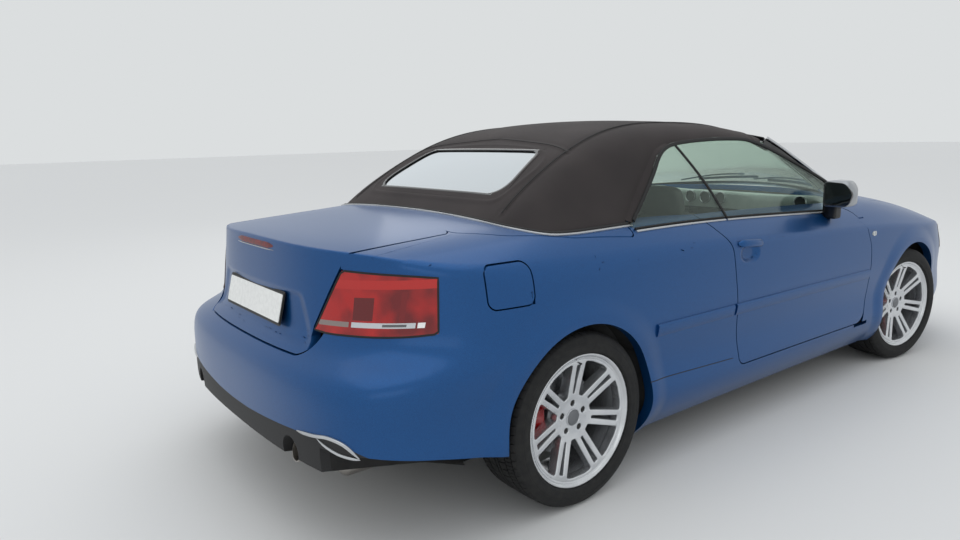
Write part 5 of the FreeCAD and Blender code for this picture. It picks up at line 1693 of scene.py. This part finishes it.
def tread_block(y_in, y_out, start, end, skew, chamfer=0.0012):
    """A tread block between two angles, part of one pitch, on the carcass."""
    pitch = 2 * math.pi / PITCHES
    ys = np.array([y_in, (y_in + y_out) / 2, y_out])
    points = []
    for share in (start, (start + end) / 2, end):
        for y in ys:
            lean = skew * (y - y_in) / (abs(y_out - y_in) + 1e-9)
            angle = (share + lean) * pitch
            top = np.interp(abs(y), CROWN_Y, CROWN_RADIUS)
            foot = 0.3125 if abs(y) < 0.1 else top - 0.008
            for r, inset in ((foot, 0), (top - chamfer, 0), (top, chamfer)):
                toward_y = (ys[1] - y) / (abs(ys[1] - ys[0]) + 1e-9) * inset
                toward_a = ((start + end) / 2 - share) / (abs(end - start) / 2) * inset / TYRE_RADIUS
                a = angle + toward_a
                points.append((r * math.sin(a), y + toward_y, r * math.cos(a)))

    def index(column, k):
        return (column[0] * 3 + column[1]) * 3 + k

    corners = ((0, 0), (1, 0), (1, 1), (0, 1))
    faces = [tuple(index((i + a, j + b), 2) for a, b in corners) for i in range(2) for j in range(2)]
    edge = [(0, 0), (1, 0), (2, 0), (2, 1), (2, 2), (1, 2), (0, 2), (0, 1)]
    for here, there in zip(edge, edge[1:] + edge[:1]):
        for k in range(2):
            faces.append((index(here, k), index(there, k), index(there, k + 1), index(here, k + 1)))
    return points, faces


def pitch_of_tread():
    parts = [tread_block(-0.0060, 0.0060, 0.0, 1.0, 0.0)]
    for sign in (-1, 1):
        parts += [
            tread_block(sign * 0.0125, sign * 0.0455, 0.04, 0.94, 0.25 * sign),
            tread_block(sign * 0.0530, sign * 0.0815, 0.02, 0.47, 0.18),
            tread_block(sign * 0.0530, sign * 0.0815, 0.53, 0.97, 0.18),
            tread_block(sign * 0.0870, sign * 0.1045, 0.02, 0.95, 0.1),
        ]
    return joined("tread_pitch", parts, 25)


def repeated(mesh, count, material, name):
    """Copies of a mesh about the wheel's axle, made with Geometry Nodes and kept as a plain mesh."""
    part = in_scene(bpy.data.objects.new(name + "_part", mesh))
    host = in_scene(bpy.data.objects.new(name + "_host", bpy.data.meshes.new(name + "_host")))
    tree = bpy.data.node_groups.new(name + "_repeat", "GeometryNodeTree")
    tree.interface.new_socket("Geometry", in_out="INPUT", socket_type="NodeSocketGeometry")
    tree.interface.new_socket("Geometry", in_out="OUTPUT", socket_type="NodeSocketGeometry")
    count_socket = tree.interface.new_socket("Count", in_out="INPUT", socket_type="NodeSocketInt")
    start, end, share, turn, spin, points, index, source, copies, real, coloured = (
        tree.nodes.new(kind) for kind in (
            "NodeGroupInput", "NodeGroupOutput", "ShaderNodeMath", "ShaderNodeMath", "ShaderNodeCombineXYZ",
            "GeometryNodePoints", "GeometryNodeInputIndex", "GeometryNodeObjectInfo",
            "GeometryNodeInstanceOnPoints", "GeometryNodeRealizeInstances", "GeometryNodeSetMaterial",
        )
    )
    source.inputs["Object"].default_value = part
    coloured.inputs["Material"].default_value = material
    share.operation, share.inputs[0].default_value = "DIVIDE", 2 * math.pi
    turn.operation = "MULTIPLY"
    for giver, output, taker, socket in (
        (start, "Count", points, "Count"), (start, "Count", share, 1), (index, 0, turn, 0),
        (share, 0, turn, 1), (turn, 0, spin, "Y"), (points, 0, copies, "Points"),
        (source, "Geometry", copies, "Instance"), (spin, 0, copies, "Rotation"), (copies, 0, real, 0),
        (real, 0, coloured, "Geometry"), (coloured, 0, end, 0),
    ):
        tree.links.new(giver.outputs[output], taker.inputs[socket])
    modifier = host.modifiers.new("repeat", "NODES")
    modifier.node_group = tree
    modifier[count_socket.identifier] = count
    host.update_tag()
    bpy.context.view_layer.update()
    made = drawn_mesh(host)
    for gone in (part, host):
        bpy.data.objects.remove(gone)
    made.materials.clear()
    return made


tread_mesh = repeated(pitch_of_tread(), PITCHES, TYRE, "tread")
carcass_mesh = joined("tyre_carcass", [carcass()], 30)
WHEEL_PARTS = {
    "wheel_barrel": (barrel, ALLOY), "hub_and_bolts": (hub_mesh, CAST_IRON),
    "centre_cap": (cap_mesh, CAP_GREY), "cap_ring": (cap_ring, ALLOY), "brake_disc": (disc_mesh, DISC),
    "tyre_valve": (valve_mesh, RUBBER),
    "tyre_tread": (tread_mesh, TYRE),
}
for spot in WHEEL_SPOTS:
    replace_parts(at_corner("spoked_face", face, ALLOY, spot), f"wheel_{spot}")
    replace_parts(at_corner("tyre_carcass", carcass_mesh, TYRE, spot), f"tyre_{spot}")
    for part, (mesh, material) in WHEEL_PARTS.items():
        at_corner(part, mesh, material, spot)

# %% [markdown]
# ## Glass, screen and mirrors
# The side glass keeps its CAD form. Seals follow its outline on the same leaning arc.

# %% Glass and its seals
for node, name in (
    ("door_glass_right", "door_window_right"), ("door_glass_left", "door_window_left"),
    ("quarter_windows", "quarter_window_glass"), ("windscreen", "windscreen_glass"),
):
    smooth_copy(node, name, GLASS, 35, "window_glass")
smooth_copy("windscreen_frame", "windscreen_surround", GLOSS_BLACK, 30)

ARC_YZ = np.array([(-0.800, 0.890), (-0.735, 1.105), (-0.641, 1.290)])


def side_glass_y(z):
    """Where the side glass is, at each height: a circle through three points."""
    fit = np.linalg.solve(np.column_stack([ARC_YZ, np.ones(3)]), -(ARC_YZ**2).sum(1))
    middle_y, middle_z = -fit[0] / 2, -fit[1] / 2
    radius = math.sqrt(middle_y**2 + middle_z**2 - fit[2])
    return middle_y - np.sqrt(np.maximum(radius**2 - (z - middle_z) ** 2, 0))


def glass_strip(places, width, height, lift=-0.001):
    x, z = flow(places, 0.02).T
    slope = (side_glass_y(z + 0.002) - side_glass_y(z - 0.002)) / 0.004
    normal = unit(np.column_stack([np.zeros(len(x)), -np.ones(len(x)), slope]))
    line = np.column_stack([x, side_glass_y(z), z]) + normal * lift
    return swept(line, normal, pebble(width, height))


UPPER_EDGE = [
    (0.585, 1.030), (0.45, 1.094), (0.25, 1.182), (0.08, 1.252), (0.0, 1.275), (-0.08, 1.288),
    (-0.25, 1.2925), (-0.42, 1.289), (-0.56, 1.280), (-0.64, 1.264), (-0.705, 1.232), (-0.78, 1.168),
    (-0.88, 1.083), (-0.975, 1.000),
]
SPLIT = [(-0.3785, 0.960), (-0.42, 1.03), (-0.48, 1.13), (-0.535, 1.215), (-0.572, 1.272)]
add_both("side_glass_seals", [glass_strip(UPPER_EDGE, 0.016, 0.007)], RUBBER)
add_both("quarter_glass_edge", [glass_strip(SPLIT, 0.014, 0.004)], RUBBER)

# the cloth turns in to meet the glass behind the doors
TURN_IN = [
    (-0.60, 1.274), (-0.66, 1.257), (-0.705, 1.232), (-0.78, 1.168), (-0.88, 1.083), (-0.94, 1.030),
    (-0.982, 0.994),
]


def roof_side_y(x, z):
    """Where the roof's side is at a height, found between its shoulder and its foot."""
    inner, outer = np.full(len(x), -0.50), np.full(len(x), -0.80)
    for _ in range(30):
        middle = (inner + outer) / 2
        above = ROOF.height(x, middle) > z
        inner, outer = np.where(above, middle, inner), np.where(above, outer, middle)
    return inner


def ruled(rows):
    """A closed bar between lines with as many points each, in order round it."""
    n, m = len(rows[0]), len(rows)
    faces = grid_faces(m, n, wrap=False, close=True)
    faces += [tuple(i * n for i in range(m)), tuple(i * n + n - 1 for i in reversed(range(m)))]
    return np.concatenate(rows), faces


def turn_in():
    x, z = flow(TURN_IN, 0.02).T
    glass = np.column_stack([x, side_glass_y(z) + 0.001, z])
    back = np.array([-0.012, 0, 0.008])
    cloth = np.column_stack([x, roof_side_y(x + back[0], z + back[2]), z]) + back
    inner, edge = glass + (-0.002, 0.008, 0.0), glass + (0.006, 0.002, -0.004)
    return ruled([edge, glass, cloth, cloth + (-0.004, 0.004, 0.002), inner])


add_both("cloth_turn_in", [turn_in()], CLOTH, angle=40)

# %% [markdown]
# The screen is ruled between an arc at its foot and one at its head. A bright strip edges each pillar over a
# black cover, and two wipers lie at the foot.

# %% Windscreen trim
# each arc's end on the right and its middle
SCREEN_FOOT = (0.790, -0.700, 0.948), (1.075, 0, 0.985)
SCREEN_TOP = (0.165, -0.628, 1.284), (0.235, 0, 1.337)


def screen_point(u, v):
    """A point on the screen's outer face: u across from -1 to 1, v from foot to head."""
    ends = []
    for edge, middle in (SCREEN_FOOT, SCREEN_TOP):
        at = np.array(middle) + (np.array(edge) - middle) * u * u
        at[1] = -u * edge[1]
        ends.append(at)
    return ends[0] * (1 - v) + ends[1] * v


def screen_strip(uv, lift, section):
    line = np.array([screen_point(u, v) for u, v in uv])
    du = np.array([screen_point(u + 0.01, v) - screen_point(u - 0.01, v) for u, v in uv])
    dv = np.array([screen_point(u, v + 0.01) - screen_point(u, v - 0.01) for u, v in uv])
    normal = unit(np.cross(du, dv))
    normal *= np.sign(normal[:, 2])[:, None]
    return swept(line + normal * lift, normal, section)


PILLAR_EDGE = [
    (0.129, -0.650, 1.289), (0.206, -0.680, 1.242), (0.314, -0.700, 1.185), (0.433, -0.717, 1.124),
    (0.566, -0.735, 1.055),
]
PILLAR_COVER = [
    (0.105, -0.655, 1.275), (0.252, -0.692, 1.204), (0.434, -0.722, 1.112), (0.563, -0.738, 1.037),
]


def pillar_block():
    """The black cover that fills the corner between the screen's frame and the door glass."""
    at = np.linspace(0, 1, 14)
    frame_edge = np.array([screen_point(-1.0, 1.0 - 0.72 * t) for t in at])
    upper = resampled(flow(PILLAR_EDGE, 0.01), at) + (0, 0.004, -0.001)
    lower = resampled(flow(np.array(PILLAR_COVER) + (0, 0.010, -0.012), 0.01), at)
    return ruled([frame_edge, upper, lower, frame_edge + (0, 0.020, -0.030)])


pillar_line = flow(PILLAR_EDGE, 0.02)
pillar_edge = swept(pillar_line, np.repeat([[0.10, -1.0, 0.42]], len(pillar_line), 0), pebble(0.015, 0.006))
add_both("pillar_trim", [pillar_edge], SATIN_METAL)
add_both("pillar_cover", [pillar_block()], GLOSS_BLACK, angle=35)
header = screen_strip([(u, 1.012) for u in np.linspace(-0.98, 0.98, 24)], -0.004, pebble(0.016, 0.005))
add_made("header_seal", [header], RUBBER)
foot_band = screen_strip([(u, 0.035) for u in np.linspace(-0.88, 0.88, 24)], 0.002, pebble(0.05, 0.0015))
add_made("screen_foot_band", [foot_band], GLOSS_BLACK)
BLADE_SECTION = [
    (0.004, -0.006), (0.005, 0.004), (0.001, 0.009), (-0.001, 0.009), (-0.005, 0.004), (-0.004, -0.006),
]
wipers = []
for u_pivot, u_tip in ((0.62, -0.02), (-0.05, -0.70)):
    reach, along = u_tip - u_pivot, np.linspace(0, 1, 10)
    rises = [0.05 + 0.10 * math.sin(math.pi * min(t * 1.1, 1) / 2) for t in along]
    arm = [(u_pivot + reach * t, rise) for t, rise in zip(along, rises)]
    u_blade = u_pivot * 0.72 + u_tip * 0.28
    blade = [(u_blade + reach * t * 0.95, 0.095 + 0.055 * t) for t in along]
    wipers += [screen_strip(arm, 0.022, oval(0.006, 0.004, 8)), screen_strip(blade, 0.008, BLADE_SECTION)]
add_made("wipers", wipers, TRIM_BLACK)

# %% [markdown]
# Door mirrors: a satin silver shell, a black foot, and dark glass in a black surround that faces rearwards.

# %% Door mirrors
MIRROR_LOOP = rounded_loop([
    (0.820, 0.958, 0.020), (0.944, 0.960, 0.032), (0.963, 1.020, 0.040), (0.923, 1.069, 0.048),
    (0.820, 1.075, 0.026),
], 5)
FOOT_OUT, FOOT_TOP, MIRROR_GLASS_X = 0.815, 0.952, 0.3668
SURROUND = [(0.97, 0.3900), (1.0, 0.3690), (0.99, 0.3655), (0.94, 0.3652), (0.925, MIRROR_GLASS_X)]
# share of the outline, and x: the glass is a little hollow
GLASS_RINGS = [(scale, MIRROR_GLASS_X - 0.0012 * (1 - scale**2)) for scale in (0.945, 0.7, 0.4, 0.05)]


def mirror_rings(rings, sign):
    """The mirror's outline at several sizes, each at its own x."""
    middle, n = MIRROR_LOOP.mean(0), len(MIRROR_LOOP)
    points = []
    for scale, x in rings:
        points += [(x, sign * y, z) for y, z in middle + (MIRROR_LOOP - middle) * scale]
    return points, grid_faces(len(rings), n)


for side, sign in (("right", -1), ("left", 1)):
    shell = smooth_copy(f"mirror_{side}", f"door_mirror_{side}", MIRROR_SHELL, 45, "mirror_shell")
    shell.data.materials.append(TRIM_BLACK)
    for face in shell.data.polygons:
        face.material_index = int(abs(face.center.y) < FOOT_OUT or face.center.z < FOOT_TOP)
    surround = mirror_rings(SURROUND, sign)
    add_made(f"mirror_surround_{side}", [surround], GLOSS_BLACK, f"door_{side}", angle=25)
    points, faces = mirror_rings(GLASS_RINGS, sign)
    faces.append(tuple(range(3 * len(MIRROR_LOOP), len(points))))
    add_made(f"mirror_glass_{side}", [(points, faces)], MIRROR_GLASS, f"door_{side}", angle=40)

# %% [markdown]
# ## Nose
# The grille's slats, its bright frame and the lamps' round units are laid on the body's own surface.

# %% Nose
smooth_copy("grille", "grille_backing", TRIM_BLACK, 35)
GRILLE_HALF = [(0.338, 0.700, 0.022), (0.322, 0.520, 0.05), (0.240, 0.298, 0.028)]
GRILLE_LOOP = rounded_loop([(-y, z, r) for y, z, r in GRILLE_HALF] + GRILLE_HALF[::-1], 4)


def nose_strip(points, width, height, lift, closed=False, taper=None):
    return body_strip([(2.25, y, z) for y, z in points], width, height, lift, 0.02, closed, taper=taper)


def level_line(z, start, end, count):
    return [(y, z) for y in np.linspace(start, end, count)]


slats = []
for z in np.arange(0.325, 0.690, 0.0285):
    half = np.interp(z, (0.29, 0.52, 0.71), (0.236, 0.320, 0.334)) - 0.012
    slats.append(nose_strip(level_line(z, -half, half, 15), 0.0085, 0.007, -0.0145))
add_made("grille_frame", [nose_strip(GRILLE_LOOP[::2], 0.013, 0.006, -0.006, True)], SATIN_METAL)
add_made("grille_slats", slats, GLOSS_BLACK)
rings = []
for y, z, radius in ((-0.50, 0.650, 0.042), (-0.615, 0.655, 0.036)):
    for scale in (1.0, 0.62):
        loop = [(2.1, y + u, z + v) for u, v in oval(scale * radius, scale * radius, 24)]
        rings.append(body_strip(loop, 0.006, 0.003, closed=True))
add_both("headlamp_units", rings, SATIN_METAL)
intake_lines = [level_line(z, -0.70, -0.43, 9) for z in (0.335, 0.365, 0.395)]
intake = [nose_strip(line, 0.010, 0.005, 0.0, taper="ends") for line in intake_lines]
add_both("bumper_intake", intake, TRIM_BLACK)
plate_rail = nose_strip(level_line(0.455, -0.26, 0.26, 11), 0.118, 0.006, -0.0125)
add_made("front_plate_blank", [plate_rail], PLATE_WHITE)

# %% [markdown]
# ## Cabin
# Seats are foam pads in leather, sculpted as crowned forms with pressed seams and bolsters.

# %% Seat pads


def cube_net(count):
    """A cube's faces as square nets of count points a side, its edges shared."""
    steps = np.linspace(-1, 1, count)
    points, faces, index = [], [], {}

    def vertex(axis, sign, s, t):
        p = np.insert([s, t], axis, sign)
        key = tuple(np.round(p, 5))
        if key not in index:
            index[key] = len(points)
            points.append(p)
        return index[key]

    for axis in range(3):
        for sign in (-1, 1):
            grid = [[vertex(axis, sign, s, t) for t in steps] for s in steps]
            for row, after in zip(grid, grid[1:]):
                faces += list(zip(row, after, after[1:], row[1:]))
    return np.array(points), faces


def pressed(distance):
    """The form of a seam pressed into a pad."""
    return np.exp(-((distance / 0.0075) ** 2))


def pad_form(half, crown, seams=(), cross=(), bolster=0.0, power=5.0, count=26):
    """A stuffed slab about the origin: long side along x, wide along y, its face upwards."""
    cube, faces = cube_net(count)
    rounded_cube = cube / (np.abs(cube) ** power).sum(1)[:, None] ** (1 / power)
    half = np.array(half, float)
    p = rounded_cube * (half - (0, 0, crown))
    u, v = p[:, 0] / half[0], p[:, 1] / half[1]
    top = smooth_step(p[:, 2] / half[2], 0.2, 0.8)
    p[:, 2] += crown * top * np.clip((1 - u**2) * (1 - v**2), 0, 1)
    wing = smooth_step(np.abs(v), 0.58, 0.80)
    p[:, 2] -= top * (1 - wing) * bolster * (1 - np.clip(u, 0, 1) * 0.3)
    for y, depth in seams:
        p[:, 2] -= top * depth * pressed(p[:, 1] - y)
    for x, depth in cross:
        p[:, 2] -= top * (1 - smooth_step(np.abs(v), 0.60, 0.68)) * depth * pressed(p[:, 0] - x)
    return p, faces


def add_pad(name, form, foot, reach=0.0, recline=90, material=LEATHER):
    p, faces = form
    back = math.radians(recline)
    lean = math.pi / 2 - back
    c, s = math.cos(lean), math.sin(lean)
    place = np.array(foot) + reach * np.array([-math.sin(back), 0, math.cos(back)])
    turned = p @ np.array([[c, 0, -s], [0, 1, 0], [s, 0, c]]) + place
    piece = add_piece(name, mesh_of(name, turned, faces, 60), material, "car")
    return piece


def lines(depth, *places):
    return [(place, depth) for place in places]


seams = lines(0.008, -0.148, 0.148)
cushion = pad_form((0.252, 0.248, 0.075), 0.012, seams, lines(0.006, -0.10, 0.0, 0.10), 0.020)
seat_base = pad_form((0.235, 0.205, 0.040), 0.001, power=9.0, count=12)
backrest = pad_form((0.292, 0.242, 0.070), 0.012, seams, lines(0.006, -0.16, -0.06, 0.04), 0.022)
headrest = pad_form((0.074, 0.128, 0.044), 0.010, (), lines(0.002, 0.0), 0.0, 4.0, 18)
for side, y in (("right", -0.370), ("left", 0.370)):
    pad = add_pad(f"front_cushion_{side}", cushion, (0.216, y, 0.360))
    if side == "right":
        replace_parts(pad, "front_seats")
    add_pad(f"front_seat_base_{side}", seat_base, (0.216, y, 0.245), material=SOFT_TRIM)
    add_pad(f"front_backrest_{side}", backrest, (-0.060, y, 0.400), 0.300, 22)
    add_pad(f"front_headrest_{side}", headrest, (-0.285, y, 0.930), 0.075, 16)
bench_lines = lines(0.008, -0.43, -0.12, 0.12, 0.43), lines(0.005, 0.0), 0.010, 6.0, 44
bench = pad_form((0.188, 0.556, 0.064), 0.012, *bench_lines)
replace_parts(add_pad("rear_cushion", bench, (-0.750, 0, 0.445)), "rear_seat")
rear_back = pad_form((0.208, 0.556, 0.056), 0.012, *bench_lines)
add_pad("rear_backrest", rear_back, (-0.870, 0, 0.460), 0.215, 14)

# %% [markdown]
# The dashboard carries round vents with bright rings, two instruments, and a dark panel below the vents.

# %% Dashboard and wheel
smooth_copy("dashboard", "dashboard_and_console", SOFT_TRIM, 35)
FACE_OUT = Vector((-1.0, 0, 0.08)).normalized()


def add_dial(name, centre, radius, depth, face_material):
    """A bright ring and a face, turned to look out of the dashboard."""
    turn = FACE_OUT.to_track_quat("Y", "Z").to_matrix()
    ring_profile = [(0.0, 0.80), (0.7, 0.80), (1.0, 0.88), (0.8, 1.0), (0.0, 1.0), (0.0, 0.80)]
    face_profile = [(0.35, 0.0001 / radius), (0.30, 0.4), (0.35, 0.81), (0.0, 0.81), (0.0, 0.0001 / radius)]
    parts = (("ring", ring_profile, SATIN_METAL), ("face", face_profile, face_material))
    for part, profile, material in parts:
        points, faces = lathe([(depth * y, radius * r) for y, r in profile], 40)
        placed = [tuple(turn @ Vector(p) + Vector(centre)) for p in points]
        add_made(f"{name}_{part}", [(placed, faces)], material, angle=30)


def dashboard_cap():
    """A padded hood over the dashboard's top, drawn back at its ends to clear the screen."""
    rows, places = [], np.linspace(-0.738, 0.738, 41)
    for y in places:
        front = 0.97 - 0.44 * y * y
        hood = 0.020 * math.exp(-(((y - 0.37) / 0.15) ** 2)) + 0.004 * math.cos(y * 8)
        fall = 0.030 * smooth_step(abs(y), 0.64, 0.74)
        section = [
            (0.602, 0.880), (0.597, 0.930), (0.597, 0.962 + hood - fall), (0.604, 0.972 + hood - fall),
            (0.622, 0.977 + hood - fall), (0.66, 0.975 + hood * 0.6 - fall),
            ((0.66 + front) / 2, 0.960 - fall), (front, 0.940 - fall), (front, 0.905 - fall), (0.66, 0.880),
        ]
        rows += [(x, y, z) for x, z in section]
    m, last = len(section), len(rows)
    faces = grid_faces(len(places), m) + [tuple(range(m)), tuple(reversed(range(last - m, last)))]
    return rows, faces


# the cap's pale colour is grey trim plus painted light for the light through the screen
add_made("dashboard_cap", [dashboard_cap()], DASH_TOP_WITH_PAINTED_LIGHT, angle=35)
for index, y in enumerate((-0.585, -0.096, 0.008, 0.112, 0.60)):
    add_dial(f"vent_{index}", (0.598, y, 0.940), 0.038, 0.014, GRILLE_BLACK)
for index, y in enumerate((0.31, 0.43)):
    add_dial(f"instrument_{index}", (0.603, y, 0.925), 0.048, 0.010, DIAL_BLACK)
corners = [(y, z, 0.008) for y, z in ((-0.12, 0.800), (0.12, 0.800), (0.12, 0.875), (-0.12, 0.875))]
loop = rounded_loop(corners)
panel = [(x, y, z) for x in (0.600, 0.5955) for y, z in loop]
add_made("dashboard_panel", [(panel, prism_faces(len(loop)))], GLOSS_BLACK, angle=30)
smooth_copy("steering_wheel", "steering_wheel_rim", DARK_LEATHER, 40)


def door_bar(x_start, x_end, count, y, height, section, length=3):
    """A bar along the right hand door's inner face, its ends drawn in."""
    line = np.array([(x, y, height(x + 0.3)) for x in np.linspace(x_start, x_end, count)])
    return swept(line, np.repeat([[0, 1, 0]], count, 0), section, taper=ends_in(count, length))


armrest = door_bar(-0.30, 0.42, 12, -0.722, lambda x: 0.66 + 0.03 * x, oval(0.030, 0.021, 16, 0.002))
add_both("door_armrest", [armrest], SOFT_TRIM, "door", angle=50)
pull = door_bar(0.30, 0.44, 8, -0.7005, lambda x: 0.79 + 0.02 * x, pebble(0.018, 0.008), 2)
add_both("door_pull", [pull], SATIN_METAL, "door")

# %% [markdown]
# ## Underneath
# Pieces seen only from below keep their CAD form, with a material for each.

# %% Underneath
UNDERNEATH = {
    "underbody": TUB, "rear_structure": TUB, "front_suspension": CAST_IRON, "rear_suspension": CAST_IRON,
    "knuckle_left": CAST_IRON, "knuckle_right": CAST_IRON, "engine": CAST_ALLOY, "fuel_tank": GRAINED,
}
for node, material in UNDERNEATH.items():
    smooth_copy(node, node + "_dressed", material, 28)
for node in ("rear_brake_calipers", "brake_caliper_left", "brake_caliper_right"):
    smooth_copy(node, node + "_lacquered", CALIPER, 35, "caliper_paint")
